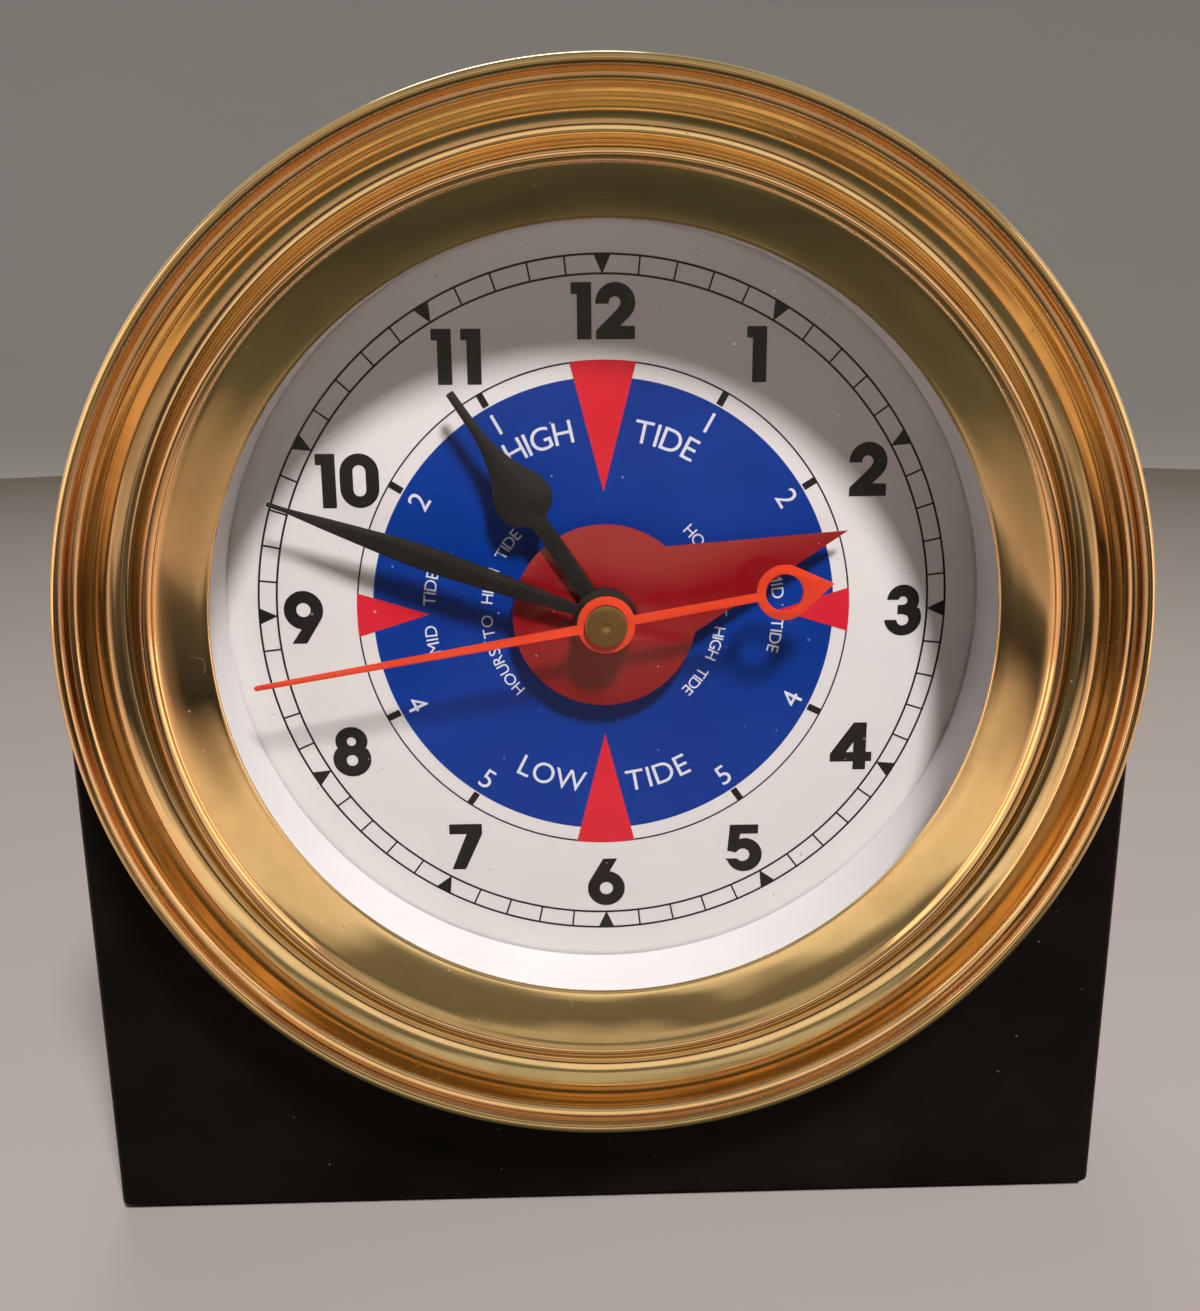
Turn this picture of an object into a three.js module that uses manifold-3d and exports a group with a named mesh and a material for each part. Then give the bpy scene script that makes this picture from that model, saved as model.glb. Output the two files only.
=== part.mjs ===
// Time-and-tide deck clock: polished brass bezel and drum, quartz time-and-tide
// movement, sitting in a black block stand. Millimetres, +Z up, dial faces -Y,
// +X to the right of someone reading the dial. The origin is the middle of the
// underside.
import * as THREE from 'three';
import { mergeVertices } from 'three/addons/utils/BufferGeometryUtils.js';
import Module from 'manifold-3d';

const wasm = await Module();
wasm.setup();

// ---------------------------------------------------------------- dimensions
// Inside the clock, sizes are given on the dial's own axes: x right, y up from
// the dial centre, z forward from the dial face.
const SEG = 40;                 // facets round a large turned piece
const CENTER_Z = 91.5;          // dial centre above the table
const FRONT_D = 23.0;           // foremost ring of the bezel ahead of the dial face
const STAND_W = 150, STAND_BACK = -30.3, STAND_FRONT = 9.7, STAND_TOP = 86.5;
const FELT_T = 1.0, FELT_INSET = 3;
const CRADLE_R = 62.5;
const DRUM_R = 62.0, DRUM_WALL = 1.2, DRUM_FRONT = 10.0, DRUM_BACK = -25.6;
const BEZEL_R = 70.0, LIP_R = 53.2, GLASS_R = 57.6;
const DIAL_R = 57.6, DIAL_T = 0.8;
const MOV_HALF = 33.5, MOV_FRONT = -1.9, MOV_BACK = -24.9, MOV_WALL = 1.4;
const SPLIT = -12.4;            // parting line of the two movement covers
const TIDE_ANGLE = 70.9, HOUR_ANGLE = 326.3, MINUTE_ANGLE = 289.9, SECOND_ANGLE = 260.2;

// gear train: teeth and centre distances
const D_THIRD = 11.0, D_FIFTH = 10.64, D_ROTOR = 8.4, D_MIN = 9.6, D_IDLER = 17.0, D_TKNOB = 10.2;
const ax = (d, deg, c = [0, 0]) => [c[0] + d * Math.cos(deg * Math.PI / 180), c[1] + d * Math.sin(deg * Math.PI / 180)];
const A_THIRD = ax(D_THIRD, 150);
const A_FIFTH = ax(D_FIFTH, 60);
const A_ROTOR = ax(D_ROTOR, 60, A_FIFTH);
const A_MIN = ax(D_MIN, 177.4);
const A_TIMEKNOB = ax(D_TKNOB, 241.5, A_MIN);
const A_IDLER = ax(D_IDLER, 30);
const M_IDLER_B = 2 * D_IDLER / 71;
const D_TIDEKNOB = 69 * M_IDLER_B / 2;
const A_TIDEKNOB = ax(D_TIDEKNOB, -20);

// --------------------------------------------------------------- tool chest
function clean(geometry) {
  const src = geometry.index ? geometry.toNonIndexed() : geometry;
  let g = new THREE.BufferGeometry();
  g.setAttribute('position', new THREE.BufferAttribute(Float32Array.from(src.attributes.position.array), 3));
  g = mergeVertices(g, 1e-4);
  const p = g.attributes.position, ix = g.index.array, keep = [];
  let vol = 0;
  const a = new THREE.Vector3(), b = new THREE.Vector3(), c = new THREE.Vector3();
  for (let i = 0; i < ix.length; i += 3) {
    if (ix[i] === ix[i + 1] || ix[i + 1] === ix[i + 2] || ix[i] === ix[i + 2]) continue;
    keep.push(ix[i], ix[i + 1], ix[i + 2]);
    a.fromBufferAttribute(p, ix[i]); b.fromBufferAttribute(p, ix[i + 1]); c.fromBufferAttribute(p, ix[i + 2]);
    vol += a.dot(b.clone().cross(c));
  }
  if (vol < 0) for (let i = 0; i < keep.length; i += 3) { const t = keep[i]; keep[i] = keep[i + 1]; keep[i + 1] = t; }
  g.setIndex(keep);
  return g;
}
function toSolid(geometry) {
  const g = clean(geometry);
  return new wasm.Manifold(new wasm.Mesh({ numProp: 3,
    vertProperties: Float32Array.from(g.attributes.position.array), triVerts: Uint32Array.from(g.index.array) }));
}
function fromSolid(m) {
  const mesh = m.getMesh();
  const g = new THREE.BufferGeometry();
  const n = mesh.vertProperties.length / mesh.numProp, pos = new Float32Array(n * 3);
  for (let i = 0; i < n; i++) for (let k = 0; k < 3; k++) pos[3 * i + k] = mesh.vertProperties[i * mesh.numProp + k];
  g.setAttribute('position', new THREE.BufferAttribute(pos, 3));
  g.setIndex(Array.from(mesh.triVerts));
  return g;
}
const join = (...gs) => fromSolid(gs.map(toSolid).reduce((a, b) => a.add(b)));
const cut = (g, ...cs) => fromSolid(cs.map(toSolid).reduce((a, b) => a.subtract(b), toSolid(g)));

// turned about the dial axis: profile of [radius, z]; closes on itself
function lathe(profile, seg = SEG, c = [0, 0]) {
  const pts = profile.map(([r, z]) => new THREE.Vector2(r, z));
  if (profile[0][0] > 1e-6 || profile[profile.length - 1][0] > 1e-6) pts.push(pts[0].clone());
  const g = new THREE.LatheGeometry(pts, seg);
  g.rotateX(Math.PI / 2); g.translate(c[0], c[1], 0);
  return clean(g);
}
const ringProfile = (ri, ro, z0, z1) => [[ri, z0], [ro, z0], [ro, z1], [ri, z1]];
const ring = (ri, ro, z0, z1, seg = SEG, c) => lathe(ringProfile(ri, ro, z0, z1), seg, c);
const rod = (r, z0, z1, c = [0, 0], seg = 16) => lathe([[0, z0], [r, z0], [r, z1], [0, z1]], seg, c);
function slab(points, z0, z1, holes = []) {
  const s = new THREE.Shape(points.map(([x, y]) => new THREE.Vector2(x, y)));
  for (const h of holes) s.holes.push(new THREE.Path(h.map(([x, y]) => new THREE.Vector2(x, y))));
  const g = new THREE.ExtrudeGeometry(s, { depth: z1 - z0, bevelEnabled: false, curveSegments: 8 });
  g.translate(0, 0, z0);
  return clean(g);
}
function block(x0, x1, y0, y1, z0, z1) {
  const g = new THREE.BoxGeometry(x1 - x0, y1 - y0, z1 - z0);
  g.translate((x0 + x1) / 2, (y0 + y1) / 2, (z0 + z1) / 2);
  return clean(g);
}
const circle = (r, n = 24, c = [0, 0], ph = 0) => Array.from({ length: n }, (_, i) =>
  [c[0] + r * Math.cos(ph + 2 * Math.PI * i / n), c[1] + r * Math.sin(ph + 2 * Math.PI * i / n)]);
const square = (h) => [[-h, -h], [h, -h], [h, h], [-h, h]];
// outline turned clockwise from 12 o'clock
function turn(points, deg) {
  const t = -deg * Math.PI / 180, c = Math.cos(t), s = Math.sin(t);
  return points.map(([x, y]) => [x * c - y * s, x * s + y * c]);
}
// vertical rod (along the dial's y) and radial rod
function rodY(r, x, z, y0, y1, seg = 16) {
  const g = new THREE.CylinderGeometry(r, r, y1 - y0, seg);
  g.translate(x, (y0 + y1) / 2, z);
  return clean(g);
}
function rodRadial(r, r0, r1, z, deg, seg = 12) {
  const g = new THREE.CylinderGeometry(r, r, r1 - r0, seg);
  g.translate(0, (r0 + r1) / 2, 0); g.rotateZ((deg - 90) * Math.PI / 180); g.translate(0, 0, z);
  return clean(g);
}
function rodX(r, y, z, x0, x1, seg = 24) {
  const g = new THREE.CylinderGeometry(r, r, x1 - x0, seg);
  g.rotateZ(Math.PI / 2); g.translate((x0 + x1) / 2, y, z);
  return clean(g);
}
// straight-flanked gear outline; phase is the angle of one tooth's middle.
// Wheels have pointed teeth (one root and one tip point each), pinions have
// narrow square-topped leaves.
function gearOutline(n, mod, phase, opt) {
  const rp = mod * n / 2, pitch = 2 * Math.PI / n, out = [];
  const { add = n > 20 ? 0.62 : 0.62, ded = n > 20 ? 0.95 : 1.05, thick = n > 11 ? 0.22 : 0.25 } = opt;
  const ro = rp + add * mod, rr = rp - ded * mod;
  for (let i = 0; i < n; i++) {
    const a = phase + i * pitch, w = thick * pitch / 2;
    if (n > 20) out.push([rr, a - pitch / 2], [ro, a]);
    else out.push([rr, a - w * 1.5], [ro, a - w * 0.4], [ro, a + w * 0.4], [rr, a + w * 1.5]);
  }
  return out.map(([r, a]) => [r * Math.cos(a), r * Math.sin(a)]);
}
function gear(n, mod, phase, z0, z1, c, opt = {}) {
  const g = slab(gearOutline(n, mod, phase, opt), z0, z1);
  g.translate(c[0], c[1], 0);
  return g;
}
// phase of gear B so that it meshes with gear A (teeth nA, phase pA) along A->B
function meshPhase(nA, pA, cA, nB, cB) {
  const th = Math.atan2(cB[1] - cA[1], cB[0] - cA[0]);
  const frac = (v) => v - Math.floor(v);
  const fA = frac((pA - th) * nA / (2 * Math.PI));
  const fB = frac(0.5 - fA);
  return th + Math.PI + fB * 2 * Math.PI / nB;
}

// ------------------------------------------------------------------ materials
const mat = (color, roughness, metalness, more = {}) => new THREE.MeshStandardMaterial({ color, roughness, metalness, ...more });
const brass = () => mat(0xb98a45, 0.22, 1.0);
const steel = () => mat(0xb8bbbd, 0.35, 1.0);
const blackPaint = () => mat(0x0b090a, 0.42, 0.0);
const blackPlastic = () => mat(0x17181a, 0.5, 0.0);
const whitePlastic = () => mat(0xe9e6df, 0.45, 0.0);
const nylon = () => mat(0xe8e2cc, 0.5, 0.0);
const rubber = () => mat(0x1b1b1b, 0.8, 0.0);

const object = new THREE.Group();
const clock = new THREE.Group();
clock.rotation.x = Math.PI / 2;
clock.position.set(0, 0, CENTER_Z);
object.add(clock);
function add(name, geometry, material) {
  const m = new THREE.Mesh(clean(geometry), material);
  m.name = name;
  clock.add(m);
  return m;
}

// ---------------------------------------------------------------------- stand
{
  const w = STAND_W / 2, bottom = -CENTER_Z + FELT_T, top = STAND_TOP - CENTER_Z;
  const a0 = Math.asin(top / CRADLE_R), pts = [[-w, bottom], [w, bottom], [w, top]];
  const n = 32;
  for (let i = 0; i <= n; i++) {
    const a = a0 + (-Math.PI - 2 * a0) * i / n;
    pts.push([CRADLE_R * Math.cos(a), CRADLE_R * Math.sin(a)]);
  }
  pts.push([-w, top]);
  const body = slab(pts, STAND_BACK, STAND_FRONT);
  const zc = -10;
  add('stand_block', cut(body, rodY(2.3, 0, zc, -CENTER_Z - 2, -60), rodY(6.2, 0, zc, -CENTER_Z - 2, -CENTER_Z + 6)), blackPaint());
  add('stand_felt', cut(block(-w + FELT_INSET, w - FELT_INSET, -CENTER_Z, bottom, STAND_BACK + FELT_INSET, STAND_FRONT - FELT_INSET),
    rodY(6.2, 0, zc, -CENTER_Z - 2, bottom + 2)), mat(0x14231a, 0.95, 0.0));
  // hold-down screw: counterbored head, shank up into the drum
  add('hold_down_washer', (() => { const g = new THREE.CylinderGeometry(5.6, 5.6, 0.8, 20); g.translate(0, -CENTER_Z + 5.3, zc);
    return cut(g, rodY(2.3, 0, zc, -CENTER_Z + 2, -CENTER_Z + 8, 16)); })(), steel());
  const head = rodY(3.9, 0, zc, -CENTER_Z + 2.2, -CENTER_Z + 4.7, 20);
  add('hold_down_screw', cut(join(head, rodY(1.95, 0, zc, -CENTER_Z + 4.0, -57.6, 16)),
    block(-0.5, 0.5, -CENTER_Z + 1.8, -CENTER_Z + 3.1, zc - 5, zc + 5)), steel());
  const nut = new THREE.CylinderGeometry(4.1, 4.1, 2.4, 6);
  nut.translate(0, -59.0, zc);
  add('hold_down_nut', cut(nut, rodY(2.2, 0, zc, -62, -56, 16)), steel());
}

// ----------------------------------------------------------------------- case
{
  // turned bezel: rolled outer rim, bead, cove, crest, funnel down to the lip
  const profile = [
    [60.5, 10.3], [69.2, 10.3], [70.0, 11.1], [70.0, 21.8], [68.9, FRONT_D], [68.0, 22.2],
    [67.2, 20.6], [66.2, 17.6], [63.5, 15.5], [61.6, 16.6], [60.0, 18.8], [58.8, 18.2],
    [56.5, 16.4], [53.4, 14.6], [52.8, 14.0], [53.4, 13.5], [58.0, 13.5], [58.0, -5.0], [60.5, -5.0]];
  const holes = [90, 210, 330].map((d) => rodRadial(1.3, 57, 61.5, 6.0, d));
  add('bezel', cut(lathe(profile), ...holes), brass());
  add('lens', lathe([[0, 10.8], [GLASS_R, 10.8], [GLASS_R, 12.9], [57.2, 13.2], [0, 13.2]]), mat(0xf4f8f6, 0.03, 0.0, { transparent: true, opacity: 0.2 }));
  add('lens_gasket', ring(55.9, GLASS_R, 9.6, 10.5), rubber());
  add('reflector_ring', lathe([[54.8, 0.3], [GLASS_R, 0.3], [GLASS_R, 9.3], [56.4, 9.3]]), whitePlastic());
  // drum with four lugs for the back plate screws
  const lugs = [45, 135, 225, 315].map((d) => {
    const g = block(51.5, 61.4, -4, 4, -22.9, -18.9);
    g.rotateZ(d * Math.PI / 180); return g;
  });
  const lugHoles = [45, 135, 225, 315].map((d) => rod(1.3, -24, -17, ax(55.5, d), 12));
  const drum = join(ring(DRUM_R - DRUM_WALL, DRUM_R, DRUM_BACK, DRUM_FRONT), ...lugs);
  add('case_drum', cut(drum, ...lugHoles, ...[90, 210, 330].map((d) => rodRadial(1.3, 60, 63, 6.0, d)), rodY(2.3, 0, -10, -64, -59)), brass());
  [90, 210, 330].forEach((d, i) => add(`bezel_set_screw_${i + 1}`,
    cut(rodRadial(1.0, 58.4, 61.7, 6.0, d), (() => { const g = block(-0.25, 0.25, 61.1, 62.2, 4.5, 7.5); g.rotateZ((d - 90) * Math.PI / 180); return g; })()), steel()));
  // back plate with a square window for the movement
  const screws = [45, 135, 225, 315].map((d) => ax(55.5, d));
  add('back_plate', slab(circle(DRUM_R - DRUM_WALL - 0.35, SEG), -24.4, -23.2,
    [square(MOV_HALF + 0.3), ...screws.map((c) => circle(1.6, 12, c))]), brass());
  screws.forEach((c, i) => add(`back_screw_${i + 1}`, cut(join(rod(1.05, -25.5, -18.0, c, 10), lathe([[0, -25.9], [2.3, -25.9], [2.7, -25.2], [2.7, -24.7], [0, -24.7]], 12, c)),
    block(c[0] - 3, c[0] + 3, c[1] - 0.3, c[1] + 0.3, -26.5, -25.3)), steel()));
}

// ----------------------------------------------------------------------- dial
add('dial_plate', ring(4.8, DIAL_R, -DIAL_T, 0, SEG), mat(0xf1eee8, 0.5, 0.0));
add('dial_clamp_ring', ring(51.5, 57.7, -3.6, -1.1), brass());
add('dial_washer', ring(4.8, 7.4, 0.25, 0.65, 24), brass());
add('center_nut', slab(circle(6.2, 6, [0, 0], 0), 0.9, 2.1, [circle(4.75, 24)]), brass());
add('movement_pad', ring(4.9, 11, -1.6, -1.1, 24), rubber());

// ---------------------------------------------------------------------- hands
const mirrored = (half, tail = []) => [...half.map(([s, w]) => [w, s]), ...half.slice().reverse().map(([s, w]) => [-w, s]), ...tail];
{
  const hub = (r, from, to, n = 20) => Array.from({ length: n + 1 }, (_, i) => {
    const a = (from + (to - from) * i / n) * Math.PI / 180; return [r * Math.sin(a), r * Math.cos(a)];
  });
  // tide hand: disc with a long triangular pointer
  add('tide_hand', slab(turn([[0, 36.8], ...hub(13.3, 30, 330, 36)], TIDE_ANGLE), 2.6, 3.0, [circle(3.45, 24)]), mat(0x9c1622, 0.25, 0.0));
  // hour hand: spade
  const hourHalf = [[16.6, 1.25], [17.8, 3.15], [19.2, 3.95], [20.8, 4.05], [22.4, 3.7], [24.4, 2.6], [26.9, 1.6], [30.2, 0.8], [33.4, 0.65], [38.1, 0.55]];
  const hourOut = [...hub(4.4, 16.5, 343.5, 18).reverse(), ...hourHalf.map(([s, w]) => [w, s]).reverse().reverse()];
  const hour = [...hub(4.4, 17, 343, 18), ...hourHalf.map(([s, w]) => [-w, s]), ...hourHalf.slice().reverse().map(([s, w]) => [w, s])];
  add('hour_hand', slab(turn(hour, HOUR_ANGLE), 3.8, 4.2, [circle(2.5, 20)]), mat(0x0d0c0f, 0.4, 0.0));
  const minHalf = [[12, 1.25], [20, 1.65], [28, 1.75], [35, 1.3], [41, 0.85], [46.6, 0.36], [49.6, 0.33]];
  const minute = [...hub(4.5, 10.5, 349.5, 18), ...minHalf.map(([s, w]) => [-w, s]), ...minHalf.slice().reverse().map(([s, w]) => [w, s])];
  add('minute_hand', slab(turn(minute, MINUTE_ANGLE), 5.0, 5.4, [circle(1.6, 16)]), mat(0x0d0c0f, 0.4, 0.0));
  // second hand: needle, hub, pierced teardrop counterweight
  const drop = [];
  const rc = 25.1, rd = 3.9, apex = 7.0, ta = Math.acos(rd / apex) * 180 / Math.PI;
  for (let i = 0; i <= 20; i++) { const a = (ta + (171 - ta) * i / 20) * Math.PI / 180; drop.push([rd * Math.sin(a), -rc - rd * Math.cos(a)]); }
  const h0 = hub(4.05, 170.7, 9.6, 10), h1 = hub(4.05, 350.4, 189.3, 10);
  const sec = [[0, -rc - apex], ...drop, ...h0, [0.36, 49.6], [0, 49.9], [-0.36, 49.6], ...h1, ...drop.slice().reverse().map(([x, y]) => [-x, y])];
  add('second_hand', slab(turn(sec, SECOND_ANGLE), 8.6, 9.0, [circle(0.75, 12), turn(circle(2.6, 20, [0, -rc]), SECOND_ANGLE)]), mat(0xe2442a, 0.4, 0.0));
  add('second_hand_cap', lathe([[0, 9.2], [2.95, 9.2], [2.95, 9.75], [2.75, 9.9], [0, 9.9]], 24), brass());
}

// ------------------------------------------------------------------- movement
const Y0 = MOV_FRONT;          // outside of the front wall
const H = MOV_HALF, W = MOV_WALL, CR = 5;
const rsq = (h, r) => { const o = []; for (const [sx, sy, a0] of [[1, -1, -90], [1, 1, 0], [-1, 1, 90], [-1, -1, 180]])
  for (let i = 0; i <= 3; i++) { const a = (a0 + 30 * i) * Math.PI / 180; o.push([sx * (h - r) + r * Math.cos(a), sy * (h - r) + r * Math.sin(a)]); } return o; };
const POSTS = [[-29, 29], [29, 29], [-29, -10], [29, -10]];
// battery bay, open at the back
const BAY = { x: 28.4, y0: -30.6, y1: -16.2, z0: -9.6, wall: 1.0 }, CELL_Y = -23.4, CELL_Z = -17.0, CELL_R = 6.95;
// depths of the train layers, [front, back]
const L = { tide: [-3.7, -4.8], h57: [-5.2, -6.1], h32: [-6.5, -7.4], minute: [-7.9, -8.8], plate: [-9.4, -10.2], centre: [-10.7, -11.4],
  third: [-11.9, -12.6], second: [-13.2, -13.9], fifth: [-14.5, -15.2] };
{
  const shell = cut(slab(rsq(H, CR), SPLIT, Y0), slab(rsq(H - W, CR - W), SPLIT - 1, Y0 - W));
  const bush = ring(3.45, 4.5, Y0 - 0.7, 2.2, 24);
  const posts = POSTS.map((c) => rod(2.4, SPLIT, Y0 - 0.7, c, 10));
  const body = join(cut(shell, rod(4.0, Y0 - 3, Y0 + 3, [0, 0], 24)), bush, ...posts, rod(1.6, -3.3, Y0 - 0.7, A_IDLER, 12));
  add('movement_front_cover', cut(body, ...POSTS.map((c) => rod(1.1, SPLIT - 1, SPLIT + 6, c, 8)), rod(0.75, -4, -2.5, A_IDLER, 12)), blackPlastic());

  const back = MOV_BACK, rear = cut(slab(rsq(H, CR), back, SPLIT - 0.3), slab(rsq(H - W, CR - W), back + W, SPLIT + 1));
  const bayBox = block(-BAY.x - BAY.wall, BAY.x + BAY.wall, BAY.y0 - BAY.wall, BAY.y1 + BAY.wall, back, BAY.z0 + BAY.wall);
  const bayCut = block(-BAY.x, BAY.x, BAY.y0, BAY.y1, back - 1, BAY.z0);
  const bosses = [
    rod(1.5, back + 0.7, -14.6, A_THIRD, 12), rod(1.5, back + 0.7, -16.0, A_FIFTH, 12), rod(1.6, back + 0.7, -14.6, [0, 0], 12),
    rod(2.4, back + 0.7, -19.4, A_ROTOR, 10), rod(2.6, back + 0.7, -21.4, A_TIMEKNOB, 12), rod(2.6, back + 0.7, -21.4, A_TIDEKNOB, 12)];
  const rposts = POSTS.map((c) => rod(2.4, back + 0.7, SPLIT - 0.3, c, 10));
  const rearBody = cut(join(rear, bayBox, ...bosses, ...rposts), bayCut,
    rod(0.6, -18, -12, A_THIRD, 10), rod(0.6, -19, -14, A_FIFTH, 10), rod(0.7, -18, -12, [0, 0], 10), rod(0.6, -22, -17, A_ROTOR, 10),
    rod(1.5, back - 1, -19, A_TIMEKNOB, 12), rod(1.5, back - 1, -19, A_TIDEKNOB, 12),
    ...POSTS.map((c) => rod(1.25, back - 1, SPLIT + 1, c, 8)), ...POSTS.map((c) => rod(2.05, back - 1, back + 1.3, c, 10)));
  add('movement_rear_cover', rearBody, blackPlastic());
  POSTS.forEach((c, i) => add(`movement_screw_${i + 1}`, cut(join(rod(0.8, back + 0.6, SPLIT + 4, c, 8), rod(1.75, back + 0.3, back + 1.0, c, 10)),
    block(c[0] - 2, c[0] + 2, c[1] - 0.2, c[1] + 0.2, back, back + 0.55)), steel()));

  // middle plate carries the train's front pivots
  const midOut = [[-31.4, -9], [-31.4, 24], [-24, 31.4], [24, 31.4], [31.4, 24], [31.4, -9], [22, -14.6], [-22, -14.6]];
  const [pf, pb] = L.plate;
  add('train_plate', cut(slab(midOut, pb, pf, [circle(3.4, 20), circle(0.6, 10, A_THIRD), circle(1.0, 12, A_MIN), circle(0.85, 10, A_IDLER),
    circle(1.5, 12, A_TIMEKNOB), circle(1.5, 12, A_TIDEKNOB)]), ...POSTS.map((c) => rod(2.75, pb - 1, pf + 1, c, 10))), whitePlastic());
}

// ----------------------------------------------------------------- gear train
const m31 = 2 * D_THIRD / 51, m32 = 2 * D_THIRD / 54, m5 = 2 * D_FIFTH / 56, mR = 2 * D_ROTOR / 48;
const mM = 2 * D_MIN / 32, mH = 2 * D_MIN / 40, m57 = 2 * D_IDLER / 69, m59 = M_IDLER_B;
const O = [0, 0];
const pinOpt = {};
{
  // second wheel and its long arbor through the whole centre
  const secPinPh = 0, secWheelPh = 0;
  add('second_wheel', join(rod(0.5, -17.2, 9.0, O, 12), gear(48, m5, secWheelPh, L.second[1], L.second[0], O),
    gear(6, m31, secPinPh, -13.6, -11.7, O, pinOpt)), nylon());
  const thirdPh = meshPhase(6, secPinPh, O, 45, A_THIRD), thirdPinPh = 0.1;
  add('third_wheel', join(rod(0.4, -16.8, -9.5, A_THIRD, 10), gear(45, m31, thirdPh, L.third[1], L.third[0], A_THIRD),
    gear(6, m32, thirdPinPh, -12.3, -10.5, A_THIRD, pinOpt)), nylon());
  const centrePh = meshPhase(6, thirdPinPh, A_THIRD, 48, O), cannonPh = 0.05;
  // centre wheel: hollow arbor with cannon pinion, carries the minute hand
  add('center_wheel', cut(join(rod(1.35, -11.4, 5.9, O, 16), gear(48, m32, centrePh, L.centre[1], L.centre[0], O),
    gear(8, mM, cannonPh, -8.95, -7.75, O, pinOpt), rod(2.2, -10.9, -8.6, O, 16)), rod(0.8, -12, 7, O, 12)), nylon());
  const minPh = meshPhase(8, cannonPh, O, 24, A_MIN), minPinPh = 0;
  add('minute_wheel', join(rod(0.75, -10.1, -6.4, A_MIN, 12), gear(24, mM, minPh, L.minute[1], L.minute[0], A_MIN),
    gear(8, mH, minPinPh, -8.3, -6.3, A_MIN, pinOpt)), nylon());
  const hourPh = meshPhase(8, minPinPh, A_MIN, 32, O), h57Ph = 0;
  add('hour_wheel', cut(join(rod(2.3, L.h32[1], 4.6, O, 20), gear(32, mH, hourPh, L.h32[1], L.h32[0], O),
    gear(57, m57, h57Ph, L.h57[1], L.h57[0], O), rod(3.2, -7.0, -5.6, O, 20)), rod(1.65, -8, 6, O, 16)), nylon());
  const idAPh = meshPhase(57, h57Ph, O, 12, A_IDLER), idBPh = 0.2;
  add('tide_idler', join(rod(0.55, -10.0, -3.0, A_IDLER, 12), gear(12, m57, idAPh, L.h57[1], -4.6, A_IDLER, pinOpt),
    gear(12, m59, idBPh, -4.9, L.tide[0], A_IDLER, pinOpt)), nylon());
  const tidePh = meshPhase(12, idBPh, A_IDLER, 59, O);
  add('tide_wheel', cut(join(rod(3.2, L.tide[1], 3.3, O, 20), gear(59, m59, tidePh, L.tide[1], L.tide[0], O)), rod(2.6, -6, 5, O, 20)), nylon());
  const fifthPinPh = meshPhase(48, secWheelPh, O, 8, A_FIFTH), fifthPh = 0;
  add('fifth_wheel', join(rod(0.4, -18.0, -12.9, A_FIFTH, 10), gear(40, mR, fifthPh, L.fifth[1], L.fifth[0], A_FIFTH),
    gear(8, m5, fifthPinPh, -14.8, -13.0, A_FIFTH, pinOpt)), nylon());
  const rotorPh = meshPhase(40, fifthPh, A_FIFTH, 8, A_ROTOR);
  add('rotor', join(rod(0.4, -20.8, -13.6, A_ROTOR, 10), gear(8, mR, rotorPh, -15.5, -14.3, A_ROTOR, pinOpt), rod(2.9, -18.3, -15.9, A_ROTOR, 20)), mat(0x3a3c40, 0.4, 0.6));
  // setting knobs: pinion inside, fluted knob behind the cover
  const flutes = (r, c, z0, z1) => slab(Array.from({ length: 24 }, (_, i) => { const a = 2 * Math.PI * i / 24, q = i % 2 === 0 ? r - 0.45 : r; return [c[0] + q * Math.cos(a), c[1] + q * Math.sin(a)]; }), z0, z1);
  const knobA = meshPhase(24, minPh, A_MIN, 10, A_TIMEKNOB), knobB = meshPhase(59, tidePh, O, 10, A_TIDEKNOB);
  add('time_set_knob', join(rod(1.15, -26.5, -7.9, A_TIMEKNOB, 14), gear(10, mM, knobA, L.minute[1], L.minute[0], A_TIMEKNOB, pinOpt), flutes(4.6, A_TIMEKNOB, -28.2, -25.3)), blackPlastic());
  add('tide_set_knob', join(rod(1.15, -26.5, -3.7, A_TIDEKNOB, 14), gear(10, m59, knobB, L.tide[1], L.tide[0], A_TIDEKNOB, pinOpt), flutes(4.6, A_TIDEKNOB, -28.2, -25.3)), mat(0x8d1a20, 0.45, 0.0));
}

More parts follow.
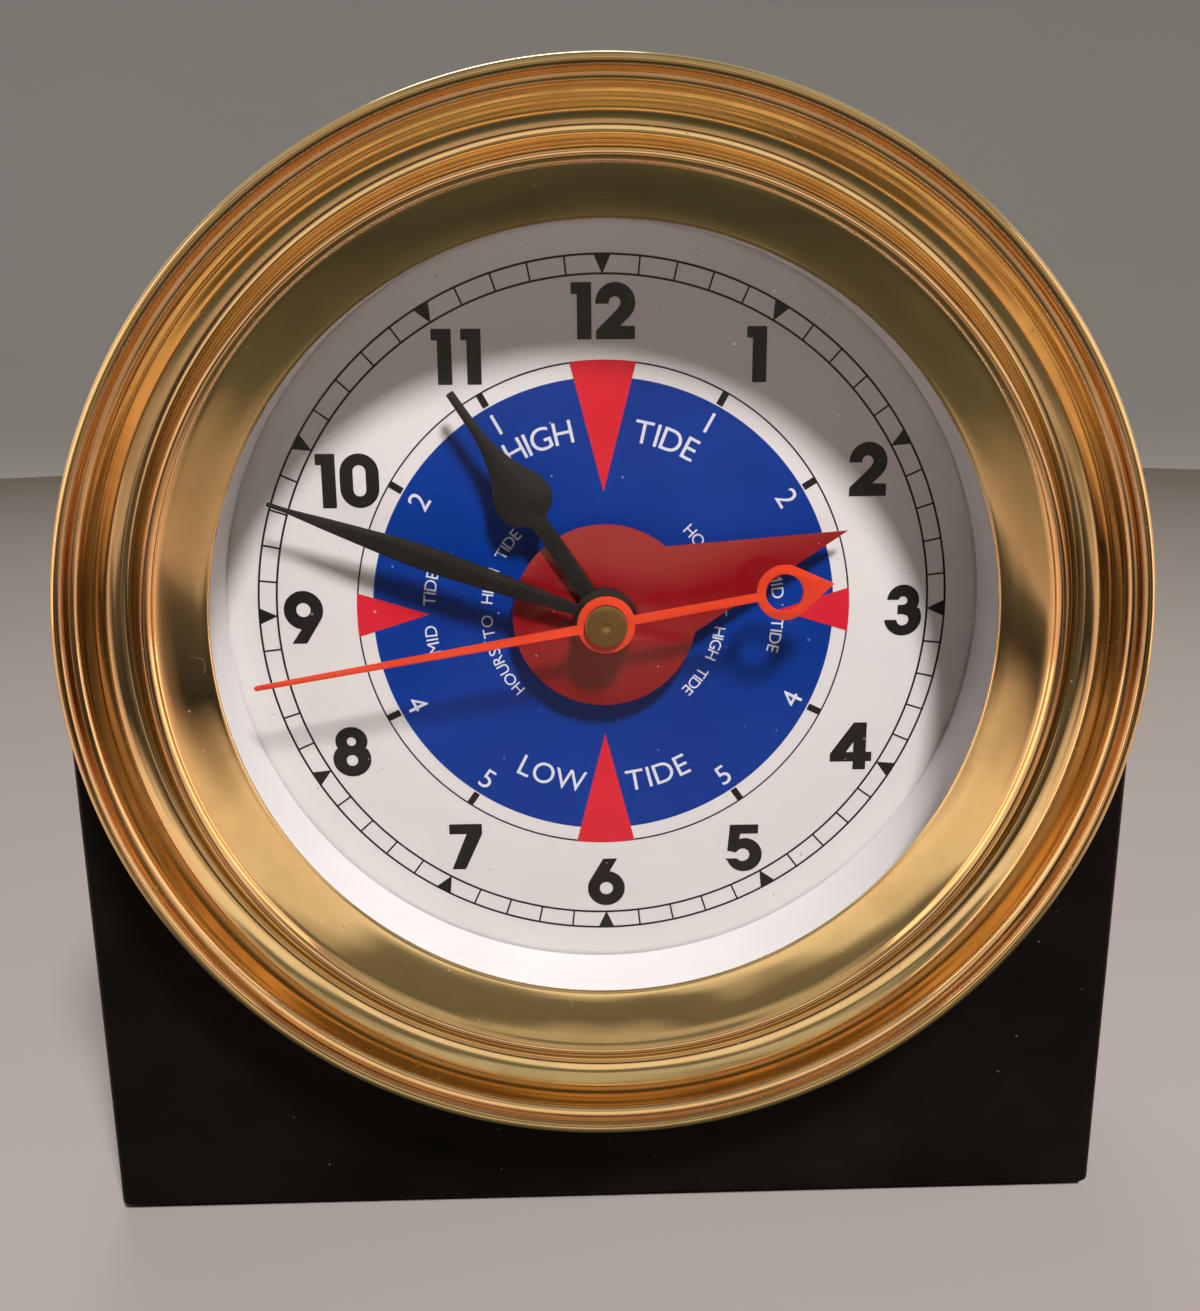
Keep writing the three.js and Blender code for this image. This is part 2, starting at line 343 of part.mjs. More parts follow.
// ------------------------------------------------------------ motor and power
{
  const rot = circle(3.6, 24, A_ROTOR);
  add('stator', slab([[-22, 11.3], [22, 11.3], [22, 29.2], [16.6, 29.2], [16.6, 21.4], [-16.6, 21.4], [-16.6, 29.2], [-22, 29.2]], -17.6, -16.7, [rot]), mat(0x8f9296, 0.4, 0.9));
  add('coil_core', block(-21.6, 21.6, 24.6, 28.2, -18.9, -17.9), mat(0x8f9296, 0.4, 0.9));
  const bob = join(block(-15.2, 15.2, 23.4, 29.4, -19.9, -16.9), block(-15.2, -14.0, 22.2, 30.6, -21.2, -15.6), block(14.0, 15.2, 22.2, 30.6, -21.2, -15.6));
  add('coil_bobbin', cut(bob, block(-17, 17, 24.3, 28.5, -19.2, -17.6)), whitePlastic());
  add('coil_winding', cut(rodX(3.9, 26.4, -18.4, -13.7, 13.7, 20), block(-15, 15, 23.1, 29.7, -20.2, -16.6)), mat(0xb4622c, 0.35, 0.8));
  add('circuit_board', slab([[-31.2, -7.2], [-18.6, -7.2], [-18.6, 9], [-23.2, 9], [-23.2, 22], [-31.2, 22]], -20.2, -19.2), mat(0x1c5b34, 0.5, 0.0));
  add('driver_chip', lathe([[0, -20.4], [3.0, -20.4], [2.6, -21.2], [1.4, -21.6], [0, -21.7]], 16, [-25.6, 2]), mat(0x0c0c0c, 0.35, 0.0));
  { const g = new THREE.CylinderGeometry(1.0, 1.0, 6, 14); g.translate(-27.2, 14, -21.5); add('quartz_crystal', g, steel()); }
  const cell = new THREE.LatheGeometry([[0, -25.0], [4.6, -25.0], [4.6, -24.7], [6.6, -24.7], [CELL_R, -24.3], [CELL_R, 24.0], [6.6, 24.4], [2.75, 24.4], [2.75, 25.7], [0, 25.7]]
    .map(([r, y]) => new THREE.Vector2(r, y)), 20);
  cell.rotateZ(-Math.PI / 2); cell.translate(0, CELL_Y, CELL_Z);
  add('battery', cell, mat(0x24262b, 0.35, 0.3));
  add('contact_positive', slab([[26.1, -28.5], [26.5, -28.5], [26.5, -19.2], [28.1, -18.2], [28.1, -17.0], [27.7, -17.0], [27.7, -17.9], [26.1, -18.9]], -20, -14), steel());
  add('contact_negative', slab([[-28.1, -29.8], [-27.7, -29.8], [-27.7, -27.0], [-25.4, -23.4], [-27.7, -19.8], [-27.7, -17.0], [-28.1, -17.0], [-28.1, -20.0], [-25.95, -23.4], [-28.1, -26.8]], -20, -14), steel());
}

// bring the depth of the whole object to the middle of its own frame
clock.position.y = (FRONT_D + STAND_BACK) / 2;

export default object;
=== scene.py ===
# Looks for the time-and-tide deck clock: fine turned brass, printed dial, enamelled
# hands, glass, painted block stand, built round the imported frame.
import bpy, bmesh, math
from mathutils import Vector, Matrix
from mathutils.geometry import tessellate_polygon


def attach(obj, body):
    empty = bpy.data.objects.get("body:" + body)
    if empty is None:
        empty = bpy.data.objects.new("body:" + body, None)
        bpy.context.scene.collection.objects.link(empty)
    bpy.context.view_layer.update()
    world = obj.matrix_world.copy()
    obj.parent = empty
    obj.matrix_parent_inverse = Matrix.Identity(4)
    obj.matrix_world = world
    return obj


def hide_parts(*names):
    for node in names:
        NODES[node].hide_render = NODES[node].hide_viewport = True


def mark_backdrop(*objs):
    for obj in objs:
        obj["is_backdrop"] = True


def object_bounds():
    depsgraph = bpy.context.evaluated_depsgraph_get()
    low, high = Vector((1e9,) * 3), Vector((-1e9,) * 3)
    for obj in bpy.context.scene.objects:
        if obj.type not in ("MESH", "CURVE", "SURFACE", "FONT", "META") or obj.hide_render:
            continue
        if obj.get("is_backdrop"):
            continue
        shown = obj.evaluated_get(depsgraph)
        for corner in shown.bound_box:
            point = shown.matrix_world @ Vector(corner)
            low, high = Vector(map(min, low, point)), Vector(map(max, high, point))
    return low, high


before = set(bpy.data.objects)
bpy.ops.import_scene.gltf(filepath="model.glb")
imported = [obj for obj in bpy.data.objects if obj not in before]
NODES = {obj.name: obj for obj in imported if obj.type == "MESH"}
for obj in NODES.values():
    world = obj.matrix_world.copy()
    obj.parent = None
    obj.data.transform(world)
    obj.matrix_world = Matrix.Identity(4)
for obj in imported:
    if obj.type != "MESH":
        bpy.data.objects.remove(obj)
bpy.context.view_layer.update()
scene = bpy.context.scene

# ------------------------------------------------------------------ the axes
# Dial coordinates in millimetres: X right, Y up, d ahead of the dial face.
CZ, FACE = 91.5, -3.65
TIDE_A, HOUR_A, MINUTE_A, SECOND_A = 70.9, 326.3, 289.9, 260.2


def dial(x, y, d):
    return Vector((x, FACE - d, CZ + y)) * 0.001


def along_x(x, y, d):          # turned about a line parallel to X
    return Vector((d, x, y)) * 0.001


def upright(x, y, d):          # flat pieces lying on the table: x, y (world), height
    return Vector((x, y, d)) * 0.001


# --------------------------------------------------------------- mesh helpers
def make(name, bm, body, mat, sharp=32.0, replaces=()):
    bmesh.ops.recalc_face_normals(bm, faces=bm.faces)
    lim = math.radians(sharp)
    for f in bm.faces:
        f.smooth = True
    for e in bm.edges:
        e.smooth = e.calc_face_angle(0.0) < lim
    me = bpy.data.meshes.new(name)
    bm.to_mesh(me)
    bm.free()
    o = bpy.data.objects.new(name, me)
    scene.collection.objects.link(o)
    me.materials.append(mat)
    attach(o, body)
    if replaces:
        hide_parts(*replaces)
    return o


def fillet(profile, radii, steps=4, closed=True):
    """Round the corners of a polygon; radii is one number or one per corner."""
    n, out = len(profile), []
    if not hasattr(radii, "__len__"):
        radii = [radii] * n
    for i, p in enumerate(profile):
        r = radii[i]
        if r <= 0 or (not closed and i in (0, n - 1)):
            out.append(p)
            continue
        a, b = Vector(profile[i - 1]), Vector(profile[(i + 1) % n])
        v = Vector(p)
        u, w = (a - v), (b - v)
        lu, lw = u.length, w.length
        u.normalize(); w.normalize()
        ang = u.angle(w, 0)
        if ang > math.radians(176):
            out.append(p)
            continue
        t = min(r / math.tan(ang / 2), lu * 0.48, lw * 0.48)
        rr = t * math.tan(ang / 2)
        c = v + (u + w).normalized() * (rr / math.sin(ang / 2))
        p0, p1 = v + u * t, v + w * t
        a0 = math.atan2(p0.y - c.y, p0.x - c.x)
        a1 = math.atan2(p1.y - c.y, p1.x - c.x)
        da = (a1 - a0 + math.pi) % (2 * math.pi) - math.pi
        for k in range(steps + 1):
            s = a0 + da * k / steps
            out.append((c.x + rr * math.cos(s), c.y + rr * math.sin(s)))
    return out


def spline(pts, sub=5):
    """Catmull-Rom through the points."""
    out, n = [], len(pts)
    for i in range(n - 1):
        p0, p1, p2, p3 = (Vector(pts[max(i - 1, 0)]), Vector(pts[i]), Vector(pts[i + 1]), Vector(pts[min(i + 2, n - 1)]))
        for k in range(sub):
            t = k / sub
            q = 0.5 * ((2 * p1) + (p2 - p0) * t + (2 * p0 - 5 * p1 + 4 * p2 - p3) * t * t + (3 * p1 - p0 - 3 * p2 + p3) * t ** 3)
            out.append((q.x, q.y))
    out.append(tuple(pts[-1]))
    return out


def lathe_bm(bm, profile, seg, c=(0, 0), place=dial, phase=0.0, wobble=None):
    """Turn a profile of (radius, depth) about the axis through c. Ends on the axis or closes on itself."""
    rings = []
    for r, d in profile:
        if r < 1e-6:
            rings.append([bm.verts.new(place(c[0], c[1], d))])
        else:
            ring = []
            for k in range(seg):
                a = phase + 2 * math.pi * k / seg
                rr = r if wobble is None else wobble(r, d, a)
                ring.append(bm.verts.new(place(c[0] + rr * math.cos(a), c[1] + rr * math.sin(a), d)))
            rings.append(ring)
    m = len(rings)
    open_ends = len(rings[0]) == 1 and len(rings[-1]) == 1
    for i in range(m - 1 if open_ends else m):
        a, b = rings[i], rings[(i + 1) % m]
        for k in range(seg):
            k1 = (k + 1) % seg
            if len(a) == 1 and len(b) == 1:
                continue
            if len(a) == 1:
                bm.faces.new((a[0], b[k], b[k1]))
            elif len(b) == 1:
                bm.faces.new((a[k], b[0], a[k1]))
            else:
                bm.faces.new((a[k], b[k], b[k1], a[k1]))


def lathe(name, profile, body, mat, seg=192, c=(0, 0), place=dial, sharp=32.0, replaces=(), wobble=None):
    bm = bmesh.new()
    lathe_bm(bm, profile, seg, c, place, 0.0, wobble)
    return make(name, bm, body, mat, sharp, replaces)


def area2(loop):
    return sum(loop[i - 1][0] * loop[i][1] - loop[i][0] * loop[i - 1][1] for i in range(len(loop)))


def inset(loop, b):
    """Move a loop to its left by b, with mitred corners."""
    if b == 0:
        return list(loop)
    n, out = len(loop), []
    for i in range(n):
        p, q, s = Vector(loop[i - 1]), Vector(loop[i]), Vector(loop[(i + 1) % n])
        e0, e1 = (q - p), (s - q)
        if e0.length < 1e-9 or e1.length < 1e-9:
            out.append(tuple(q)); continue
        e0.normalize(); e1.normalize()
        n0, n1 = Vector((-e0.y, e0.x)), Vector((-e1.y, e1.x))
        m = n0 + n1
        if m.length < 1e-6:
            out.append(tuple(q + n0 * b)); continue
        m.normalize()
        out.append(tuple(q + m * min(b / max(m.dot(n0), 0.3), b * 2.2)))
    return out


def tidy(loop):
    out = []
    for p in loop:
        if not out or (Vector(p) - Vector(out[-1])).length > 1e-4:
            out.append((float(p[0]), float(p[1])))
    if (Vector(out[0]) - Vector(out[-1])).length < 1e-4:
        out.pop()
    return out


def plate_bm(bm, outer, holes, d0, d1, bevel=0.0, steps=1, place=dial, back_bevel=None):
    """A flat piece with holes, its front and back edges rounded."""
    loops = []
    for i, l in enumerate([outer] + list(holes)):
        l = tidy(l)
        if (area2(l) > 0) != (i == 0):
            l.reverse()
        loops.append(l)
    bb = bevel if back_bevel is None else back_bevel
    levels = []                       # (inset, depth) from back to front
    if bb > 0:
        levels += [(bb * (1 - math.sin(k / steps * math.pi / 2)), d0 + bb * (1 - math.cos(k / steps * math.pi / 2))) for k in range(steps + 1)]
    else:
        levels += [(0, d0)]
    if bevel > 0:
        levels += [(bevel * (1 - math.cos(k / steps * math.pi / 2)), d1 - bevel + bevel * math.sin(k / steps * math.pi / 2)) for k in range(steps + 1)]
    else:
        levels += [(0, d1)]
    grid = []
    for b, d in levels:
        grid.append([[bm.verts.new(place(x, y, d)) for x, y in inset(l, b)] for l in loops])
    for a, b in zip(grid, grid[1:]):
        for la, lb in zip(a, b):
            n = len(la)
            for k in range(n):
                bm.faces.new((la[k], la[(k + 1) % n], lb[(k + 1) % n], lb[k]))
    flat = [[Vector((x, y, 0)) for x, y in inset(l, levels[-1][0])] for l in loops]
    tris = tessellate_polygon(flat)
    for level in (grid[0], grid[-1]):
        vs = [v for l in level for v in l]
        for t in tris:
            try:
                bm.faces.new([vs[i] for i in t])
            except ValueError:
                pass


def plate(name, shapes, d0, d1, body, mat, bevel=0.0, steps=1, place=dial, sharp=32.0, replaces=(), back_bevel=None):
    """shapes is a list of (outer, [holes]); each becomes its own island of one piece."""
    bm = bmesh.new()
    for outer, holes in shapes:
        one = bmesh.new()
        plate_bm(one, outer, holes, d0, d1, bevel, steps, place, back_bevel)
        bmesh.ops.recalc_face_normals(one, faces=one.faces)
        tmp = bpy.data.meshes.new("tmp")
        one.to_mesh(tmp); one.free()
        bm.from_mesh(tmp)
        bpy.data.meshes.remove(tmp)
    return make(name, bm, body, mat, sharp, replaces)


def cut(o, cutters, op="DIFFERENCE"):
    """Boolean with temporary solids, applied to the mesh."""
    for bm in cutters:
        bmesh.ops.recalc_face_normals(bm, faces=bm.faces)
        me = bpy.data.meshes.new("cutter")
        bm.to_mesh(me); bm.free()
        k = bpy.data.objects.new("cutter", me)
        scene.collection.objects.link(k)
        mod = o.modifiers.new("cut", "BOOLEAN")
        mod.operation, mod.object, mod.solver = op, k, "EXACT"
        dg = bpy.context.evaluated_depsgraph_get()
        new = bpy.data.meshes.new_from_object(o.evaluated_get(dg), depsgraph=dg)
        o.modifiers.clear()
        old = o.data
        new.name = old.name
        o.data = new
        bpy.data.meshes.remove(old)
        bpy.data.objects.remove(k)
        bpy.data.meshes.remove(me)
    lim = math.radians(32)
    bm = bmesh.new(); bm.from_mesh(o.data)
    bmesh.ops.remove_doubles(bm, verts=bm.verts, dist=1e-7)
    for f in bm.faces:
        f.smooth = True
    for e in bm.edges:
        e.smooth = e.calc_face_angle(0.0) < lim
    bm.to_mesh(o.data); bm.free()
    return o


def rod_bm(r, a, b, place, seg=32, c=(0, 0)):
    bm = bmesh.new()
    lathe_bm(bm, [(0, a), (r, a), (r, b), (0, b)], seg, c, place)
    return bm


def box_bm(lo, hi, place, turn_deg=0.0, about=(0, 0)):
    bm = bmesh.new()
    t = math.radians(turn_deg)
    vs = []
    for z in (lo[2], hi[2]):
        for x, y in ((lo[0], lo[1]), (hi[0], lo[1]), (hi[0], hi[1]), (lo[0], hi[1])):
            X = about[0] + x * math.cos(t) - y * math.sin(t)
            Y = about[1] + x * math.sin(t) + y * math.cos(t)
            vs.append(bm.verts.new(place(X, Y, z)))
    for f in ((0, 1, 2, 3), (4, 5, 6, 7), (0, 1, 5, 4), (1, 2, 6, 5), (2, 3, 7, 6), (3, 0, 4, 7)):
        bm.faces.new([vs[i] for i in f])
    return bm


def circle(r, n=96, c=(0, 0), a0=0.0):
    return [(c[0] + r * math.cos(a0 + 2 * math.pi * k / n), c[1] + r * math.sin(a0 + 2 * math.pi * k / n)) for k in range(n)]


def arc(cx, cy, r, a0, a1, n=24, ry=None):
    """Points from angle a0 to a1 in degrees; goes clockwise when a1 < a0."""
    ry = r if ry is None else ry
    return [(cx + r * math.cos(math.radians(a0 + (a1 - a0) * k / n)), cy + ry * math.sin(math.radians(a0 + (a1 - a0) * k / n))) for k in range(n + 1)]


def turned(points, deg):
    """Turn clockwise from twelve o'clock, as seen by the reader."""
    t = -math.radians(deg)
    c, s = math.cos(t), math.sin(t)
    return [(x * c - y * s, x * s + y * c) for x, y in points]


# ------------------------------------------------------------ material helpers
class Mat:
    """A small builder for node materials."""

    def __init__(self, name):
        self.m = bpy.data.materials.new(name)
        self.m.use_nodes = True
        self.t = self.m.node_tree
        self.t.nodes.clear()
        self.out = self.t.nodes.new("ShaderNodeOutputMaterial")
        self.p = self.t.nodes.new("ShaderNodeBsdfPrincipled")
        self.t.links.new(self.p.outputs[0], self.out.inputs[0])
        self.co = self.t.nodes.new("ShaderNodeTexCoord").outputs["Object"]

    def set(self, **kw):
        for k, v in kw.items():
            s = self.p.inputs[k.replace("_", " ")]
            if hasattr(v, "is_output"):
                self.t.links.new(v, s)
            else:
                s.default_value = (*v, 1) if hasattr(v, "__len__") and len(v) == 3 and s.type == "RGBA" else v
        return self

    def node(self, kind, ins=None, **props):
        n = self.t.nodes.new("ShaderNode" + kind)
        for k, v in props.items():
            setattr(n, k, v)
        for k, v in (ins or {}).items():
            s = n.inputs[k]
            if hasattr(v, "is_output"):
                self.t.links.new(v, s)
            else:
                s.default_value = (*v, 1) if hasattr(v, "__len__") and len(v) == 3 and s.type == "RGBA" else v
        return n

    def math(self, op, a, b=0.0, c=None, clamp=False):
        n = self.node("Math", {0: a, 1: b} if c is None else {0: a, 1: b, 2: c}, operation=op)
        n.use_clamp = clamp
        return n.outputs[0]

    def vmath(self, op, a, b=(0, 0, 0)):
        n = self.node("VectorMath", {0: a, 1: b}, operation=op)
        return n.outputs["Value"] if op in ("LENGTH", "DOT_PRODUCT", "DISTANCE") else n.outputs[0]

    def noise(self, scale, detail=3.0, rough=0.55, co=None, distort=0.0, kind="FBM"):
        n = self.node("TexNoise", {"Vector": co or self.co, "Scale": scale, "Detail": detail, "Roughness": rough, "Distortion": distort})
        return n.outputs["Fac"]

    def stretch(self, by, co=None):
        return self.vmath("MULTIPLY", co or self.co, by)

    def ramp(self, fac, stops, mode="LINEAR"):
        n = self.node("ValToRGB", {"Fac": fac})
        n.color_ramp.interpolation = mode
        e = n.color_ramp.elements
        while len(e) < len(stops):
            e.new(0.5)
        for i, (p, c) in enumerate(stops):
            e[i].position = p
            e[i].color = (*c, 1) if hasattr(c, "__len__") else (c, c, c, 1)
        return n.outputs["Color"]

    def rng(self, v, a, b, c, d, clamp=True):
        n = self.node("MapRange", {"Value": v, "From Min": a, "From Max": b, "To Min": c, "To Max": d})
        n.clamp = clamp
        return n.outputs["Result"]

    def mix(self, fac, a, b, mode="MIX"):
        n = self.t.nodes.new("ShaderNodeMix")
        n.data_type, n.blend_type = "RGBA", mode
        for s, v in ((n.inputs[0], fac), (n.inputs[6], a), (n.inputs[7], b)):
            if hasattr(v, "is_output"):
                self.t.links.new(v, s)
            else:
                s.default_value = (*v, 1) if hasattr(v, "__len__") and len(v) == 3 else v
        return n.outputs[2]

    def bump(self, height, strength=0.2, distance=0.0001, under=None):
        n = self.node("Bump", {"Height": height, "Strength": strength, "Distance": distance})
        if under is not None:
            self.t.links.new(under, n.inputs["Normal"])
        return n.outputs[0]

    def specks(self, scale, size, keep=0.85, co=None, seed=(0, 0, 0)):
        """1 on small scattered dots: dust and pits."""
        v = self.node("TexVoronoi", {"Vector": self.vmath("ADD", co or self.co, seed), "Scale": scale}, feature="F1")
        near = self.math("LESS_THAN", v.outputs["Distance"], size)
        sep = self.node("SeparateColor", {0: v.outputs["Color"]})
        some = self.math("GREATER_THAN", sep.outputs[0], keep)
        return self.math("MULTIPLY", near, some)

    def hairs(self, scale, width, keep, seed=(0, 0, 0), co=None, stretch=(1, 1, 1)):
        """1 on thin, broken, gently curved lines: fine scratches."""
        base = self.vmath("MULTIPLY", self.vmath("ADD", co or self.co, seed), stretch)
        n = self.noise(scale, 1.5, 0.4, co=base, distort=0.6)
        line = self.math("LESS_THAN", self.math("ABSOLUTE", self.math("SUBTRACT", n, 0.5)), width)
        mask = self.math("GREATER_THAN", self.noise(scale * 1.7, 1.0, 0.5, co=self.vmath("ADD", base, (3.1, 1.7, 5.3))), keep)
        return self.math("MULTIPLY", line, mask)

    def polar(self, centre=(0, 0, 0.0915)):
        """Radius in mm, angle and depth about the dial axis."""
        rel = self.vmath("SUBTRACT", self.co, centre)
        s = self.node("SeparateXYZ", {0: rel})
        flat = self.vmath("MULTIPLY", rel, (1000, 0, 1000))
        r = self.vmath("LENGTH", flat)
        a = self.math("ARCTAN2", s.outputs[2], s.outputs[0])
        return r, a, s.outputs[1]

    def rings(self, across=60.0, around=1.5, deep=60.0, detail=4.0, centre=(0, 0, 0.0915)):
        """Fine lines left by turning or polishing, running round the axis."""
        r, a, y = self.polar(centre)
        v = self.node("CombineXYZ", {0: self.math("MULTIPLY", r, across / 10), 1: self.math("MULTIPLY", a, around), 2: self.math("MULTIPLY", y, deep * 100)})
        return self.noise(1.0, detail, 0.6, co=v.outputs[0])


def brass(name, body=(0.86, 0.64, 0.33), dark=(0.46, 0.32, 0.14), copper=(0.86, 0.54, 0.28), rough=(0.10, 0.20), lines=0.10, wear=0.5, reflection_bands=None, wave=0.8, centre=(0, 0, 0.0915), specks=0.93, ringed=0.12):
    """Turned brass: copper-toned and darkened patches, fine lines round the axis, hair scratches, specks; given
    reflection bands, also rings of painted reflection colour by radius.
    """
    k = Mat(name)
    blot = k.noise(26, 2, 0.6, distort=0.4)
    col = k.mix(k.rng(blot, 0.42, 0.66, 0, 1), body, copper)
    patina = k.noise(95, 4, 0.65)
    # painted reflections: rings of lighter, copper and darker colour by radius, mixed into the base colour
    if reflection_bands:
        r, a, y = k.polar(centre)
        reflection_tint = k.ramp(k.rng(r, reflection_bands[0], reflection_bands[1], 0, 1), reflection_bands[2])
        col = k.mix(0.72, col, reflection_tint)
    col = k.mix(k.rng(patina, 0.48, 0.76, 0, wear), col, dark)
    turned_lines = k.rings(detail=1.0, centre=centre)
    col = k.mix(k.rng(turned_lines, 0.45, 0.75, 0, ringed), col, dark)
    spk = k.specks(700, 0.13, specks)
    hair = k.hairs(110, 0.0010, 0.56)
    marks = k.math("MAXIMUM", k.math("MULTIPLY", spk, 0.8), k.math("MULTIPLY", hair, 0.5))
    col = k.mix(k.math("MULTIPLY", marks, 0.6), col, (0.90, 0.80, 0.58))
    ro = k.rng(patina, 0.35, 0.75, rough[0], rough[1])
    ro = k.math("ADD", ro, k.math("MULTIPLY", marks, 0.3), clamp=True)
    k.set(Base_Color=col, Metallic=1.0, Roughness=ro)
    height = k.math("MULTIPLY_ADD", turned_lines, lines, k.math("MULTIPLY", k.noise(120, 1, 0.5), wave))
    k.set(Normal=k.bump(height, 0.25, 0.00010))
    return k.m


M = {}
# Colour stops by radius across the bezel's profile. They are painted reflections: lighter, copper and dark rings that
# stand in for the surroundings mirrored in the brass.
REFLECTION_BANDS = [(0.0, (0.80, 0.64, 0.38)), (0.03, (0.92, 0.74, 0.46)), (0.16, (0.78, 0.62, 0.36)), (0.33, (0.84, 0.64, 0.37)),
           (0.38, (0.93, 0.62, 0.38)), (0.43, (0.93, 0.63, 0.39)), (0.50, (0.72, 0.50, 0.28)), (0.56, (0.88, 0.70, 0.43)), (0.66, (0.93, 0.76, 0.48)),
           (0.80, (0.90, 0.73, 0.45)), (0.86, (0.93, 0.64, 0.40)), (0.895, (0.92, 0.62, 0.38)), (0.915, (0.45, 0.34, 0.19)), (0.955, (0.70, 0.57, 0.34)), (0.99, (0.88, 0.73, 0.50))]
M["brass_bezel"] = brass("polished_brass", rough=(0.05, 0.14), reflection_bands=(52.8, 70.0, REFLECTION_BANDS), lines=0.0, wear=0.30, wave=0.5, specks=0.95, ringed=0.03)
M["brass_case"] = brass("satin_brass", body=(0.70, 0.47, 0.19), dark=(0.34, 0.22, 0.09), copper=(0.66, 0.38, 0.16), rough=(0.20, 0.38), lines=0.25, wear=0.6)
M["brass_small"] = brass("turned_brass", body=(0.47, 0.36, 0.17), dark=(0.22, 0.16, 0.08), copper=(0.42, 0.28, 0.13), rough=(0.28, 0.44), lines=0.35, wear=0.6)


def painted(name, base, lift, rough, grain=0.05, dust=0.5, coat=0.0, bump_scale=160, bump_strength=0.08, dust_scale=420, dust_col=(0.32, 0.30, 0.27), spec=0.5):
    k = Mat(name)
    v = k.noise(38, 3, 0.6)
    col = k.mix(k.rng(v, 0.35, 0.7, 0, 1), base, lift)
    d1 = k.specks(dust_scale, 0.085, 0.88)
    film = k.rng(v, 0.50, 0.80, 0, 0.03 * dust)
    dd = k.math("MULTIPLY_ADD", d1, dust, film, clamp=True)
    col = k.mix(dd, col, dust_col)
    ro = k.rng(k.noise(90, 3, 0.65), 0.3, 0.75, rough[0], rough[1])
    ro = k.math("MULTIPLY_ADD", dd, 0.4, ro, clamp=True)
    k.set(Base_Color=col, Roughness=ro, Coat_Weight=coat, Coat_Roughness=0.12, Specular_IOR_Level=spec)
    h = k.noise(bump_scale, 2, 0.55)
    if grain:
        h = k.math("MULTIPLY_ADD", k.noise(1.0, 3, 0.6, co=k.stretch((90, 900, 700))), grain / bump_strength, h)
    k.set(Normal=k.bump(h, bump_strength, 0.00015))
    return k.m


M["black_stand"] = painted("satin_black_paint", (0.0035, 0.0026, 0.0026), (0.008, 0.0058, 0.0054), (0.30, 0.46), grain=0.10, dust=0.22, bump_strength=0.10, spec=0.10)
M["black_plastic"] = painted("black_moulding", (0.016, 0.016, 0.018), (0.026, 0.026, 0.028), (0.42, 0.60), grain=0.0, dust=0.3, bump_scale=1500, bump_strength=0.35)
M["red_plastic"] = painted("red_moulding", (0.40, 0.02, 0.025), (0.48, 0.035, 0.035), (0.36, 0.52), grain=0.0, dust=0.2, bump_scale=1500, bump_strength=0.3)
M["acetal"] = painted("natural_acetal", (0.78, 0.73, 0.60), (0.84, 0.80, 0.68), (0.34, 0.46), grain=0.0, dust=0.1, bump_scale=900, bump_strength=0.15)
M["rubber"] = painted("black_rubber", (0.018, 0.018, 0.018), (0.03, 0.03, 0.03), (0.62, 0.80), grain=0.0, dust=0.4, bump_scale=1100, bump_strength=0.4)
M["resin"] = painted("potting_resin", (0.008, 0.008, 0.009), (0.016, 0.016, 0.018), (0.15, 0.3), grain=0.0, dust=0.2, bump_scale=260, bump_strength=0.3)
M["hand_black"] = painted("black_enamel", (0.006, 0.006, 0.008), (0.010, 0.010, 0.012), (0.26, 0.40), grain=0.0, dust=0.55, bump_scale=500, bump_strength=0.06, dust_scale=700, dust_col=(0.55, 0.52, 0.50))
M["hand_red"] = painted("deep_red_enamel", (0.27, 0.003, 0.008), (0.32, 0.006, 0.012), (0.14, 0.24), grain=0.0, dust=0.75, coat=0.4, bump_scale=240, bump_strength=0.05, dust_scale=520, dust_col=(0.85, 0.70, 0.68))
M["hand_orange"] = painted("orange_enamel", (0.80, 0.050, 0.014), (0.86, 0.066, 0.020), (0.34, 0.46), grain=0.0, dust=0.35, bump_scale=500, bump_strength=0.05, dust_scale=700, dust_col=(0.95, 0.75, 0.65))


def printed(name, base, lift, rough, dust=0.4, dust_col=(0.20, 0.17, 0.15), dust_scale=330, keep=0.93):
    """Ink or dial paint: faint mottling, a fine screen texture and a few specks."""
    k = Mat(name)
    v = k.noise(55, 3, 0.6)
    col = k.mix(k.rng(v, 0.3, 0.7, 0, 1), base, lift)
    d1 = k.specks(dust_scale, 0.075, keep)
    d2 = k.specks(dust_scale * 2.7, 0.09, keep + 0.01, seed=(0.5, 0.2, 0.1))
    col = k.mix(k.math("MULTIPLY", k.math("MAXIMUM", d1, d2), dust), col, dust_col)
    fine = k.noise(1500, 1, 0.6)
    k.set(Base_Color=col, Roughness=k.rng(v, 0.3, 0.7, rough[0], rough[1]), Specular_IOR_Level=0.15)
    k.set(Normal=k.bump(fine, 0.10, 0.00003))
    return k.m


M["dial"] = printed("white_dial_paint", (0.80, 0.775, 0.755), (0.84, 0.82, 0.80), (0.40, 0.52), dust=0.45)
M["ink_black"] = printed("black_ink", (0.010, 0.009, 0.010), (0.020, 0.018, 0.019), (0.34, 0.50), dust=0.55, dust_col=(0.34, 0.33, 0.32), keep=0.91)
M["ink_blue"] = printed("blue_ink", (0.0010, 0.034, 0.27), (0.0018, 0.044, 0.33), (0.30, 0.42), dust=0.38, dust_col=(0.22, 0.36, 0.72), keep=0.90)
M["ink_red"] = printed("red_ink", (0.70, 0.016, 0.034), (0.76, 0.026, 0.045), (0.34, 0.46), dust=0.4, dust_col=(0.90, 0.55, 0.55))
M["ink_white"] = printed("white_ink", (0.72, 0.76, 0.84), (0.80, 0.83, 0.90), (0.36, 0.5), dust=0.2)
M["white_plastic"] = printed("white_ring_plastic", (0.80, 0.785, 0.77), (0.85, 0.84, 0.83), (0.38, 0.5), dust=0.3, dust_scale=420)


